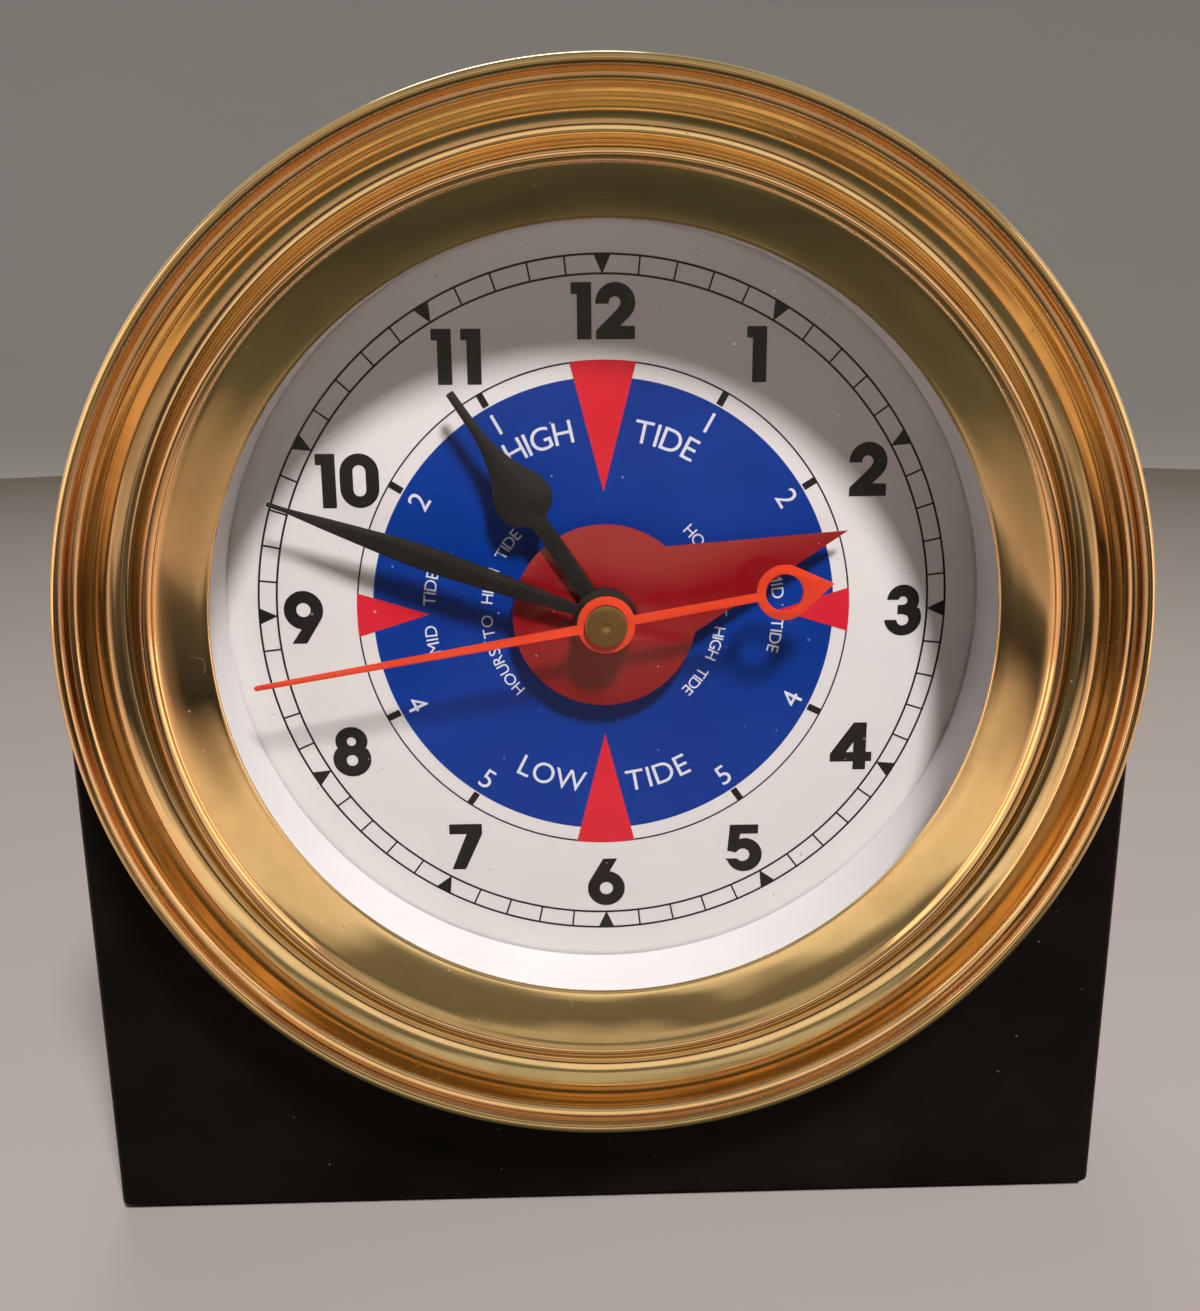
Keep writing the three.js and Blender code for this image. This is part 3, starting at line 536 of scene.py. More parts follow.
def metal(name, base, lift, rough, lines=0.3, scale=(60, 1500, 1500)):
    k = Mat(name)
    v = k.noise(60, 5, 0.6)
    col = k.mix(k.rng(v, 0.35, 0.7, 0, 1), base, lift)
    st = k.noise(1.0, 4, 0.6, co=k.stretch(scale))
    ro = k.rng(st, 0.3, 0.7, rough[0], rough[1])
    spot = k.specks(1300, 0.15, 0.92)
    col = k.mix(k.math("MULTIPLY", spot, 0.5), col, (0.16, 0.13, 0.10))
    k.set(Base_Color=col, Metallic=1.0, Roughness=ro, Normal=k.bump(st, lines, 0.00003))
    return k.m


M["steel"] = metal("plated_steel", (0.52, 0.53, 0.54), (0.64, 0.64, 0.63), (0.22, 0.38))
M["soft_iron"] = metal("laminated_iron", (0.28, 0.28, 0.285), (0.36, 0.36, 0.36), (0.40, 0.58), lines=0.6, scale=(200, 6000, 200))
M["magnet"] = metal("sintered_magnet", (0.10, 0.10, 0.105), (0.15, 0.15, 0.155), (0.45, 0.62), lines=0.5, scale=(1200, 1200, 1200))
M["copper"] = metal("enamelled_wire", (0.55, 0.22, 0.08), (0.66, 0.30, 0.12), (0.24, 0.36), lines=1.0, scale=(5200, 60, 60))


def felt():
    k = Mat("green_felt")
    f1 = k.noise(900, 6, 0.8)
    f2 = k.noise(2600, 3, 0.7)
    col = k.mix(k.rng(f1, 0.3, 0.7, 0, 1), (0.018, 0.045, 0.028), (0.045, 0.085, 0.055))
    lint = k.hairs(420, 0.010, 0.55)
    col = k.mix(k.math("MULTIPLY", lint, 0.35), col, (0.20, 0.24, 0.20))
    k.set(Base_Color=col, Roughness=0.95, Sheen_Weight=0.6, Sheen_Roughness=0.5)
    b = k.bump(f1, 0.8, 0.0003)
    k.set(Normal=k.bump(f2, 0.6, 0.00015, under=b))
    return k.m


M["felt"] = felt()


def board():
    k = Mat("green_board")
    s = k.node("TexBrick", {"Vector": k.stretch((1, 0.0001, 1)), "Scale": 420, "Mortar Size": 0.012, "Color1": (0.02, 0.14, 0.06, 1), "Color2": (0.024, 0.17, 0.07, 1), "Mortar": (0.05, 0.26, 0.11, 1)})
    v = k.noise(60, 4, 0.6)
    col = k.mix(k.rng(v, 0.3, 0.7, 0, 0.5), s.outputs["Color"], (0.012, 0.10, 0.045))
    pad = k.specks(420, 0.16, 0.80)
    col = k.mix(pad, col, (0.62, 0.60, 0.56))
    k.set(Base_Color=col, Roughness=k.rng(v, 0.3, 0.7, 0.25, 0.4), Metallic=0.0)
    k.set(Normal=k.bump(pad, 0.4, 0.0001))
    return k.m


M["board"] = board()


def cell():
    k = Mat("cell_wrap")
    s = k.node("SeparateXYZ", {0: k.co})
    reflection_tint = k.ramp(k.rng(s.outputs[0], -0.025, 0.026, 0, 1), [(0.0, (0.55, 0.55, 0.54)), (0.035, (0.030, 0.033, 0.040)), (0.70, (0.036, 0.040, 0.048)), (0.705, (0.60, 0.36, 0.14)), (0.955, (0.66, 0.42, 0.18)), (0.965, (0.60, 0.60, 0.59))], "CONSTANT")
    v = k.noise(80, 5, 0.6)
    col = k.mix(k.rng(v, 0.4, 0.75, 0, 0.25), reflection_tint, (0.16, 0.14, 0.12))
    met = k.ramp(k.rng(s.outputs[0], -0.025, 0.026, 0, 1), [(0.0, 1.0), (0.035, 0.15), (0.705, 0.85), (0.965, 1.0)], "CONSTANT")
    hair = k.hairs(90, 0.004, 0.52)
    k.set(Base_Color=k.mix(k.math("MULTIPLY", hair, 0.5), col, (0.5, 0.5, 0.5)), Metallic=met, Roughness=k.rng(v, 0.3, 0.7, 0.22, 0.36), Coat_Weight=0.3, Coat_Roughness=0.15)
    k.set(Normal=k.bump(k.noise(500, 3, 0.5), 0.10, 0.00008))
    return k.m


M["cell_wrap"] = cell()


def glass():
    """Flat crystal: what is behind shows through unbent, with a mirror's share, a little haze and dust."""
    k = Mat("clear_crystal")
    k.t.nodes.remove(k.p)
    tr = k.node("BsdfTransparent", {"Color": (0.990, 0.995, 0.992)})
    haze = k.noise(18, 2, 0.65)
    gl = k.node("BsdfGlossy", {"Color": (1, 1, 1), "Roughness": k.rng(haze, 0.45, 0.8, 0.0, 0.05)})
    facing = k.node("LayerWeight", {"Blend": 0.5}).outputs["Facing"]
    fr = k.math("MULTIPLY_ADD", k.math("POWER", facing, 5.0), 0.94, 0.012)
    mix1 = k.node("MixShader", {0: fr, 1: tr.outputs[0], 2: gl.outputs[0]})
    dust = k.node("BsdfDiffuse", {"Color": (0.75, 0.72, 0.68)})
    d1 = k.specks(420, 0.055, 0.86)
    fac = k.math("MULTIPLY_ADD", d1, 0.40, k.rng(haze, 0.50, 0.80, 0.0, 0.003), clamp=True)
    mix2 = k.node("MixShader", {0: fac, 1: mix1.outputs[0], 2: dust.outputs[0]})
    k.t.links.new(mix2.outputs[0], k.out.inputs[0])
    return k.m


M["lens_glass"] = glass()

# ------------------------------------------------------- materials on CAD nodes
def slot_of(node):
    o = NODES[node]
    m = o.data.materials[0] if len(o.data.materials) else None
    return m.name.split(".")[0] if m else ""


NODE_SLOT = {n: slot_of(n) for n in NODES}
for n, o in NODES.items():
    s = NODE_SLOT[n]
    if s not in M:
        raise RuntimeError(f"no material for slot {s!r} of {n}")
    for i in range(len(o.data.materials)):
        o.data.materials[i] = M[s]

# ---------------------------------------------------------------------- bezel
front = ([(69.2, 10.35), (69.72, 10.5), (70.0, 11.1), (70.0, 21.2)]
         + spline([(70.0, 21.2), (69.92, 21.9), (69.62, 22.6), (69.2, 22.93), (68.85, 22.98), (68.45, 22.75), (68.22, 22.3), (68.05, 21.7), (67.9, 21.25)], 4)[1:]
         + spline([(67.9, 21.25), (67.62, 21.15), (67.3, 20.95), (67.05, 20.45), (66.75, 19.3), (66.2, 17.9), (65.2, 16.5), (64.0, 15.7), (63.0, 15.5), (62.3, 15.75), (61.85, 16.3)], 4)[1:]
         + spline([(61.85, 16.3), (61.55, 16.45), (61.3, 16.75), (61.0, 17.45), (60.7, 18.1), (60.35, 18.6), (59.9, 18.82), (59.4, 18.75), (59.0, 18.4), (58.7, 17.95)], 4)[1:]
         + spline([(58.7, 17.95), (58.2, 17.5), (56.5, 16.35), (54.6, 15.2), (53.5, 14.6), (53.0, 14.35), (52.82, 14.08), (52.95, 13.75), (53.4, 13.5)], 4)[1:])
back = fillet([(53.4, 13.5), (58.0, 13.5), (58.0, -5.0), (60.5, -5.0), (60.5, 10.3), (69.2, 10.35)], 0.15, 3, closed=False)[1:-1]
bezel = lathe("bezel_turned", front + back, "case", M["brass_bezel"], seg=288, replaces=("bezel",), sharp=40)
radial = lambda deg: (lambda x, y, d: dial(*(lambda t: (y * math.cos(t) - x * math.sin(t), y * math.sin(t) + x * math.cos(t)))(math.radians(deg)), 6.0 + d))


def rod_radial(r, r0, r1, deg, depth=6.0, seg=24):
    bm = bmesh.new()
    t = math.radians(deg)

    def place(x, y, d):          # d runs outwards along the radius
        X = d * math.cos(t) - x * math.sin(t)
        Y = d * math.sin(t) + x * math.cos(t)
        return dial(X, Y, depth + y)
    lathe_bm(bm, [(0, r0), (r, r0), (r, r1), (0, r1)], seg, (0, 0), place)
    return bm


cut(bezel, [rod_radial(1.3, 57, 61.5, a) for a in (90, 210, 330)])

lens = lathe("crystal", fillet([(0, 10.8), (57.55, 10.8), (57.55, 13.2), (0, 13.2)], [0, 0.25, 0.25, 0], 3, closed=False), "case", M["lens_glass"], seg=192, replaces=("lens",))
lathe("crystal_gasket", fillet([(55.9, 9.6), (57.55, 9.6), (57.55, 10.5), (55.9, 10.5)], 0.3, 4), "case", M["rubber"], seg=160, replaces=("lens_gasket",))
lathe("white_reflector", fillet([(54.8, 0.3), (57.55, 0.3), (57.55, 9.3), (56.45, 9.3)], [0.1, 0.1, 0.3, 0.45], 4), "case", M["white_plastic"], seg=256, replaces=("reflector_ring",))

# ------------------------------------------------------------------- the drum
drum = lathe("turned_drum", fillet([(60.8, -25.6), (62.0, -25.6), (62.0, 10.0), (60.8, 10.0)], [0.25, 0.45, 0.2, 0.2], 4), "case", M["brass_case"], seg=256, replaces=("case_drum",))
lugs = [box_bm((51.5, -4, -22.9), (61.3, 4, -18.9), dial, a) for a in (45, 135, 225, 315)]
cut(drum, lugs, "UNION")
holes = [rod_bm(1.3, -24, -17, dial, 24, (55.5 * math.cos(math.radians(a)), 55.5 * math.sin(math.radians(a)))) for a in (45, 135, 225, 315)]
holes += [rod_radial(1.3, 60, 63, a) for a in (90, 210, 330)]
down = lambda x, y, d: dial(x, d, -10.0 + y)
holes += [rod_bm(2.3, -64, -59, down, 24)]
cut(drum, holes)

SCREWS = [(55.5 * math.cos(math.radians(a)), 55.5 * math.sin(math.radians(a))) for a in (45, 135, 225, 315)]
plate("turned_back_plate", [(circle(60.4, 256), [fillet([(-33.8, -33.8), (33.8, -33.8), (33.8, 33.8), (-33.8, 33.8)], 1.2, 4)] + [circle(1.6, 32, c) for c in SCREWS])],
      -24.4, -23.2, "case", M["brass_case"], bevel=0.18, steps=2, replaces=("back_plate",))
for i, c in enumerate(SCREWS):
    s = lathe(f"back_screw_slotted_{i + 1}", fillet([(0, -18.0), (1.0, -18.0), (1.05, -24.7), (2.7, -24.7), (2.7, -25.15), (2.2, -25.9), (0, -25.9)], [0, 0.2, 0, 0.08, 0.25, 0.4, 0], 4, closed=False),
              "case", M["steel"], seg=40, c=c, replaces=(f"back_screw_{i + 1}",))
    cut(s, [box_bm((-3.2, -0.32, -26.4), (3.2, 0.32, -25.3), dial, 20 + 67 * i, c)])
for i, a in enumerate((90, 210, 330)):
    bm = rod_radial(1.0, 58.4, 61.7, a, seg=32)
    s = make(f"set_screw_{i + 1}", bm, "case", M["steel"], replaces=(f"bezel_set_screw_{i + 1}",))
    cut(s, [box_bm((61.2, -1.3, 5.72), (62.4, 1.3, 6.28), dial, a)])

# ------------------------------------------------------------------- the stand
w, bottom, top, cr = 75.0, -90.5, 86.5 - CZ, 62.5
a0 = math.degrees(math.asin(top / cr))
outline = [(-w, bottom), (w, bottom), (w, top)] + arc(0, 0, cr, a0, -180 - a0, 160) + [(-w, top)]
outline = fillet(outline[:3], [0, 1.0, 1.6], 5, closed=True)[0:0] + outline


def soften(points, which, radius):
    out = []
    n = len(points)
    for i, p in enumerate(points):
        if i in which:
            tri = fillet([points[i - 1], p, points[(i + 1) % n]], [0, radius, 0], 6, closed=False)
            out += tri[1:-1]
        else:
            out.append(p)
    return out


n_out = len(outline)
outline = soften(outline, {0, 1, 2, n_out - 1}, 1.1)
stand = plate("block_stand", [(outline, [])], -30.3, 9.7, "case", M["black_stand"], bevel=0.9, steps=4, replaces=("stand_block",), sharp=40)
from_below = lambda x, y, d: dial(x, d, -10.0 + y)
cut(stand, [rod_bm(2.3, -92, -60, from_below, 32), rod_bm(6.2, -92, -85.5, from_below, 48)])
plate("felt_pad", [(fillet([(-72, FACE - 6.7), (72, FACE - 6.7), (72, FACE + 27.3), (-72, FACE + 27.3)], 2.0, 6), [circle(6.2, 48, (0, FACE + 10.0))])],
      0.0, 1.0, "case", M["felt"], bevel=0.25, steps=3, place=upright, back_bevel=0.0, replaces=("stand_felt",))

# -------------------------------------------------------------------- the dial
lathe("dial_disc", fillet([(4.8, -0.8), (57.55, -0.8), (57.55, 0.0), (4.8, 0.0)], 0.08, 2), "case", M["dial"], seg=256, replaces=("dial_plate",))
lathe("clamp_ring_turned", fillet([(51.5, -3.6), (57.65, -3.6), (57.65, -1.1), (51.5, -1.1)], 0.3, 3), "case", M["brass_case"], seg=192, replaces=("dial_clamp_ring",))
lathe("dial_washer_turned", fillet([(4.8, 0.25), (7.4, 0.25), (7.4, 0.65), (4.8, 0.65)], 0.08, 2), "case", M["brass_small"], seg=96, replaces=("dial_washer",))
plate("hex_nut", [(fillet(circle(6.2, 6), 0.3, 3), [circle(4.75, 64)])], 0.9, 2.1, "case", M["brass_small"], bevel=0.15, steps=2, replaces=("center_nut",))

INK0, INK1, INK2 = 0.002, 0.030, 0.055


def rp(r, cw):
    """Point at radius r, cw degrees clockwise from the top."""
    t = math.radians(cw)
    return (r * math.sin(t), r * math.cos(t))


# minute track: two circles, sixty divisions, solid darts at the five-minute marks
r_out, r_in, lw = 50.2, 47.6, 0.15
cells = []
for i in range(60):
    lo, hi = 6.0 * i, 6.0 * (i + 1)
    left_in = math.degrees((0.13 if i % 5 else 0.10) / r_in)
    left_out = math.degrees((0.13 if i % 5 else 1.15) / r_out)
    right_in = math.degrees((0.13 if (i + 1) % 5 else 0.10) / r_in)
    right_out = math.degrees((0.13 if (i + 1) % 5 else 1.15) / r_out)
    ri, ro = r_in + lw, r_out - lw
    cell_loop = [rp(ri, lo + left_in + (hi - right_in - lo - left_in) * k / 4) for k in range(5)]
    cell_loop += [rp(ro, hi - right_out - (hi - right_out - lo - left_out) * k / 4) for k in range(5)]
    cells.append(cell_loop)
plate("minute_track", [(circle(r_out + lw, 240), [circle(r_in - lw, 240)] + cells)], INK0, INK1, "case", M["ink_black"], sharp=50)

# tide scale: blue field, thin outer circle with hour ticks, red wedges
plate("tide_field", [(circle(33.7, 240), [circle(4.85, 64)])], INK0, INK1, "case", M["ink_blue"], sharp=50)
inner = []
ticks = [29, 58, 116, 145, 215, 244, 302, 331]
rt, tw = 35.84, 0.5
for k, t in enumerate(ticks):
    prev = ticks[k - 1] - (360 if k == 0 else 0)
    h = math.degrees(tw / rt)
    n = 20
    inner += [rp(rt, prev + h + (t - h - prev - h) * j / n) for j in range(n + 1)]
    inner += [rp(33.9, t - math.degrees(tw / 33.9)), rp(33.9, t + math.degrees(tw / 33.9))]
plate("tide_circle", [(circle(36.06, 240), [inner])], INK0, INK1, "case", M["ink_black"], sharp=50)
ring_y = lambda half: math.sqrt(36.06 ** 2 - half ** 2)


def wedge(half, apex, cw):
    h = math.degrees(math.asin(half / 36.06))
    pts = [rp(36.06, -h + 2 * h * k / 8) for k in range(9)] + [(0, apex)]
    return (turned(pts, cw), [])


plate("tide_wedges", [wedge(4.7, 17.6, 0), wedge(4.4, 18.6, 180), wedge(3.25, 25.5, 90), wedge(3.25, 25.5, 270)], INK1 + 0.002, INK2, "case", M["ink_red"], sharp=50)


# heavy numerals, drawn on a 7.7 mm height
def numeral(ch):
    """(width, [(outer, [holes])]) with the baseline at 0."""
    if ch == "1":
        return 2.95, [(fillet([(0.86, 0), (2.86, 0), (2.86, 7.7), (0.05, 7.7), (0.05, 6.12), (0.86, 6.12)], [0.12, 0.12, 0.15, 0.12, 0.12, 0.0], 3), [])]
    if ch == "2":
        pts = [(0.0, 4.80)] + arc(2.76, 4.95, 2.76, 182, -28, 30) + [(4.75, 3.05), (4.1, 2.45), (3.45, 1.85), (5.45, 1.78), (5.5, 0.0), (0.08, 0.0), (0.08, 1.22)]
        pts += [(1.2, 2.3), (2.35, 3.4), (3.1, 4.2)] + arc(2.66, 4.98, 0.80, -32, 180, 18)[0:] + [(1.86, 4.80)]
        return 5.55, [(pts, [])]
    if ch == "3":
        pts = [(0.22, 5.42)] + arc(2.66, 5.32, 2.38, 177, -30, 26) + [(4.42, 4.10)] + arc(2.70, 2.74, 2.76, 33, -170, 30) + [(0.0, 2.38), (1.80, 2.38)]
        pts += arc(2.68, 2.42, 0.88, 180, 402, 18) + [(2.75, 3.22), (1.88, 3.25), (1.88, 4.62), (2.6, 4.66)] + arc(2.62, 5.28, 0.66, -50, 168, 16) + [(1.65, 5.42)]
        return 5.5, [(pts, [])]
    if ch == "4":
        return 6.4, [(fillet([(3.55, 0), (5.5, 0), (5.5, 1.32), (6.4, 1.32), (6.4, 2.84), (5.5, 2.84), (5.5, 7.6), (3.5, 7.6), (0, 2.6), (0, 1.32), (3.55, 1.32)], [0.12, 0.12, 0, 0.12, 0.12, 0, 0.12, 0.1, 0.1, 0.12, 0], 3),
                      [[(3.55, 4.45), (3.55, 2.84), (2.45, 2.84)]])]
    if ch == "5":
        pts = [(0.66, 7.7), (5.05, 7.7), (5.05, 6.2), (2.30, 6.2), (2.14, 5.32)] + arc(2.95, 2.72, 2.76, 96, -168, 34) + [(0.0, 2.12), (1.82, 2.12)]
        pts += arc(2.72, 2.72, 1.05, 212, 512, 26) + [(1.55, 3.12), (0.30, 3.42)]
        return 5.75, [(pts, [])]
    if ch == "6":
        pts = [(2.45, 7.75), (4.62, 7.75), (3.42, 5.66)] + arc(2.92, 2.86, 2.86, 72, -209.8, 44)
        return 5.8, [(pts, [circle(1.02, 40, (2.92, 2.86))])]
    if ch == "7":
        return 5.0, [(fillet([(0.28, 0), (2.36, 0), (4.98, 5.85), (4.98, 7.55), (0, 7.55), (0, 5.9), (2.62, 5.9)], [0.1, 0.1, 0.4, 0.12, 0.12, 0.12, 0], 3), [])]
    if ch == "8":
        outer = arc(2.92, 5.52, 2.42, -32, 212, 34, ry=2.22) + arc(2.92, 2.70, 2.86, 143, 397, 40, ry=2.72)
        return 5.8, [(outer, [circle(0.68, 30, (2.92, 5.46)), circle(0.86, 32, (2.92, 2.50))])]
    if ch == "9":
        pts = [(0.92, 0.0), (3.08, 0.0)] + arc(2.85, 4.95, 2.85, -31.5, 261, 44) + [(2.42, 2.14)]
        return 5.75, [(pts, [circle(1.03, 40, (2.85, 4.98))])]
    pts = arc(2.82, 4.92, 2.80, 0, 180, 24) + arc(2.82, 2.80, 2.80, 180, 360, 24)
    return 5.65, [(pts, [arc(2.82, 5.15, 0.92, 0, 180, 14) + arc(2.82, 2.57, 0.92, 180, 360, 14)])]


def placed(shapes, x0, y0, sx, sy):
    f = lambda l: [(x0 + x * sx, y0 + y * sy) for x, y in l]
    return [(f(o), [f(h) for h in hs]) for o, hs in shapes]


BOXES = {"12": (-4.4, 4.6, 38.8, 46.5), "1": (20.15, 23.1, 32.8, 40.5), "2": (35.3, 40.8, 16.6, 24.4), "3": (41.4, 46.9, -4.1, 3.6), "4": (34.05, 40.4, -24.95, -17.35), "5": (18.4, 24.1, -41.25, -33.55),
         "6": (-2.9, 2.9, -46.55, -38.8), "7": (-23.9, -18.9, -40.1, -32.55), "8": (-40.85, -35.1, -24.75, -17.0), "9": (-46.65, -40.9, -4.15, 3.65), "10": (-40.9, -31.9, 15.65, 23.4), "11": (-23.9, -16.85, 32.75, 40.4)}
GAP = {"12": 0.45, "10": 0.48, "11": 1.15}
num_shapes = []
for text, (x0, x1, y0, y1) in BOXES.items():
    widths = [numeral(ch)[0] for ch in text]
    gap = GAP.get(text, 0.0)
    sx = (x1 - x0) / (sum(widths) + gap * (len(text) - 1))
    sy = (y1 - y0) / 7.75
    x = x0
    for ch, wd in zip(text, widths):
        num_shapes += placed(numeral(ch)[1], x, y0, sx, sy)
        x += (wd + gap) * sx
plate("hour_numerals", num_shapes, INK0, INK1, "case", M["ink_black"], sharp=50)

# small white lettering: plain capitals and figures set one by one
GLYPH = {}


def glyph(ch):
    if ch not in GLYPH:
        cu = bpy.data.curves.new("g", "FONT")
        cu.body, cu.size, cu.extrude, cu.resolution_u = ch, 1.0, 0.5, 6
        o = bpy.data.objects.new("g", cu)
        scene.collection.objects.link(o)
        dg = bpy.context.evaluated_depsgraph_get()
        me = bpy.data.meshes.new_from_object(o.evaluated_get(dg))
        vs = [tuple(v.co) for v in me.vertices]
        fs = [tuple(p.vertices) for p in me.polygons]
        bpy.data.objects.remove(o); bpy.data.curves.remove(cu); bpy.data.meshes.remove(me)
        GLYPH[ch] = (vs, fs, min(v[0] for v in vs), max(v[0] for v in vs))
    return GLYPH[ch]


CAP_H = max(v[1] for v in glyph("H")[0])


def letter(bm, ch, height, place_xy, stretch=1.0):
    vs, fs, x0, x1 = glyph(ch)
    s = height / CAP_H
    mid = (x0 + x1) / 2
    one = bmesh.new()
    new = []
    for x, y, z in vs:
        X, Y = place_xy((x - mid) * s * stretch, y * s)
        new.append(one.verts.new(dial(X, Y, INK1 + 0.002 + (INK2 - 0.008 - INK1) * (z + 0.5))))
    for f in fs:
        try:
            one.faces.new([new[i] for i in f])
        except ValueError:
            pass
    bmesh.ops.remove_doubles(one, verts=one.verts, dist=1e-7)
    bmesh.ops.recalc_face_normals(one, faces=one.faces)
    tmp = bpy.data.meshes.new("tmp"); one.to_mesh(tmp); one.free(); bm.from_mesh(tmp); bpy.data.meshes.remove(tmp)


def arc_text(bm, text, height, radius, centre_cw, tops_out=True, gap=0.32, space=0.8, stretch=1.0, span=None):
    """Letters round the dial. centre_cw is the middle of the text; radius is the baseline's."""
    s = height / CAP_H
    widths = [space * height if ch == " " else (glyph(ch)[3] - glyph(ch)[2]) * s * stretch for ch in text]
    total = sum(widths) + gap * height * (len(text) - 1)
    if span:
        extra = (math.radians(span) * radius - sum(widths)) / (len(text) - 1)
    else:
        extra = gap * height
    total = sum(widths) + extra * (len(text) - 1)
    pos = -total / 2
    for ch, wd in zip(text, widths):
        m = pos + wd / 2
        pos += wd + extra
        if ch == " ":
            continue
        along = math.degrees(m / radius)
        cw = centre_cw + (along if tops_out else -along)
        t = math.radians(cw)
        up = (math.sin(t), math.cos(t)) if tops_out else (-math.sin(t), -math.cos(t))
        right = (math.cos(t), -math.sin(t)) if tops_out else (-math.cos(t), math.sin(t))
        base = (radius * math.sin(t), radius * math.cos(t))
        letter(bm, ch, height, lambda x, y: (base[0] + right[0] * x + up[0] * y, base[1] + right[1] * x + up[1] * y), stretch)


bm = bmesh.new()
arc_text(bm, "HIGH", 3.2, 25.0, -20.3, span=22.0)
arc_text(bm, "TIDE", 3.2, 25.0, 19.6, span=20.5)
arc_text(bm, "LOW", 3.2, 28.0, 197.8, tops_out=False, span=21.8, stretch=0.95)
arc_text(bm, "TIDE", 3.2, 28.0, 162.6, tops_out=False, span=20.7)
for n_, t in (("1", 29), ("2", 58)):
    arc_text(bm, n_, 3.0, 29.6, t)
    arc_text(bm, n_, 3.0, 29.6, -t)
for n_, t in (("4", 116), ("5", 145)):
    arc_text(bm, n_, 3.0, 32.6, t, tops_out=False)
    arc_text(bm, n_, 3.0, 32.6, -t, tops_out=False)
arc_text(bm, "MID", 1.75, 24.7, 270 - 8.6, span=9.5)
arc_text(bm, "TIDE", 1.75, 24.7, 270 + 8.6, span=11.5)
arc_text(bm, "MID", 1.75, 24.7, 90 - 8.6, span=9.5)
arc_text(bm, "TIDE", 1.75, 24.7, 90 + 8.6, span=11.5)
arc_text(bm, "HOURS TO HIGH TIDE", 1.65, 16.4, 270, span=88)
arc_text(bm, "HOURS PAST HIGH TIDE", 1.65, 16.4, 90, span=92)
make("tide_lettering", bm, "case", M["ink_white"], 50)

# ------------------------------------------------------------------- the hands
hub = lambda r, f, t, n=40: [(r * math.sin(math.radians(f + (t - f) * k / n)), r * math.cos(math.radians(f + (t - f) * k / n))) for k in range(n + 1)]
tide = turned(fillet([(0, 36.8)], 0, 1, False) + hub(13.3, 30, 330, 96), TIDE_A)
plate("tide_hand_enamelled", [(tide, [circle(3.45, 64)])], 2.6, 3.0, "tide_body", M["hand_red"], bevel=0.07, steps=2, replaces=("tide_hand",))
half = [(16.4, 1.22)] + spline([(17.0, 1.7), (17.8, 3.05), (19.0, 3.85), (20.6, 4.08), (22.4, 3.7), (24.4, 2.6), (26.9, 1.62), (30.2, 0.86), (33.4, 0.68), (38.0, 0.58)], 5) + [(38.1, 0.4)]
hour = hub(4.4, 16.2, 343.8, 40) + [(-b, a) for a, b in half] + [(b, a) for a, b in reversed(half)]
plate("hour_hand_enamelled", [(turned(hour, HOUR_A), [circle(2.5, 48)])], 3.8, 4.2, "hour_body", M["hand_black"], bevel=0.09, steps=2, replaces=("hour_hand",))
half = spline([(12, 1.25), (20, 1.62), (28, 1.75), (35, 1.32), (41, 0.86), (46.6, 0.37), (49.4, 0.33)], 5) + [(49.6, 0.2)]
minute = hub(4.5, 10.5, 349.5, 40) + [(-b, a) for a, b in half] + [(b, a) for a, b in reversed(half)]
plate("minute_hand_enamelled", [(turned(minute, MINUTE_A), [circle(1.6, 40)])], 5.0, 5.4, "minute_body", M["hand_black"], bevel=0.09, steps=2, replaces=("minute_hand",))
rc, rd, apex = 25.1, 3.9, 7.0
ta = math.degrees(math.acos(rd / apex))
drop = [(rd * math.sin(math.radians(ta + (171 - ta) * i / 40)), -rc - rd * math.cos(math.radians(ta + (171 - ta) * i / 40))) for i in range(41)]
sec = [(0, -rc - apex)] + drop + hub(4.05, 170.7, 9.6, 24) + [(0.36, 49.5), (0.2, 49.85), (-0.2, 49.85), (-0.36, 49.5)] + hub(4.05, 350.4, 189.3, 24) + [(-x, y) for x, y in reversed(drop)]
plate("second_hand_enamelled", [(turned(sec, SECOND_A), [circle(0.75, 24), turned(circle(2.6, 48, (0, -rc)), SECOND_A)])], 8.6, 9.0, "second_train", M["hand_orange"], bevel=0.07, steps=2, replaces=("second_hand",))
cap = [(0, 9.2), (2.95, 9.2)] + arc(2.67, 9.62, 0.28, 0, 90, 4) + [(1.9, 9.9), (1.2, 9.885), (0.45, 9.87), (0.3, 9.80), (0, 9.78)]
lathe("hand_cap_turned", cap, "second_train", M["brass_small"], seg=96, replaces=("second_hand_cap",))

# ----------------------------------------------------------------- the battery
bc = (FACE + 17.0, CZ - 23.4)       # world y, z of the cell's axis in millimetres
cell_profile = fillet([(0, -25.0), (5.0, -25.0), (6.6, -24.7), (6.95, -24.3), (6.95, 23.6), (6.5, 24.2), (3.4, 24.2), (2.75, 24.35), (2.75, 25.5), (2.4, 25.7), (0, 25.7)], [0, 0.2, 0.3, 0.4, 0.5, 0.3, 0.2, 0.2, 0.3, 0.2, 0], 4, closed=False)
lathe("aa_cell", cell_profile, "battery_body", M["cell_wrap"], seg=96, c=bc, place=along_x, replaces=("battery",))

# ---------------------------------------------- soft edges on the moulded parts
for n in ("movement_rear_cover", "movement_front_cover", "time_set_knob", "tide_set_knob", "circuit_board", "driver_chip", "hold_down_screw"):
    mod = NODES[n].modifiers.new("edges", "BEVEL")
    mod.width, mod.segments, mod.limit_method, mod.angle_limit = 0.00018, 2, "ANGLE", math.radians(40)
    mod.harden_normals = False

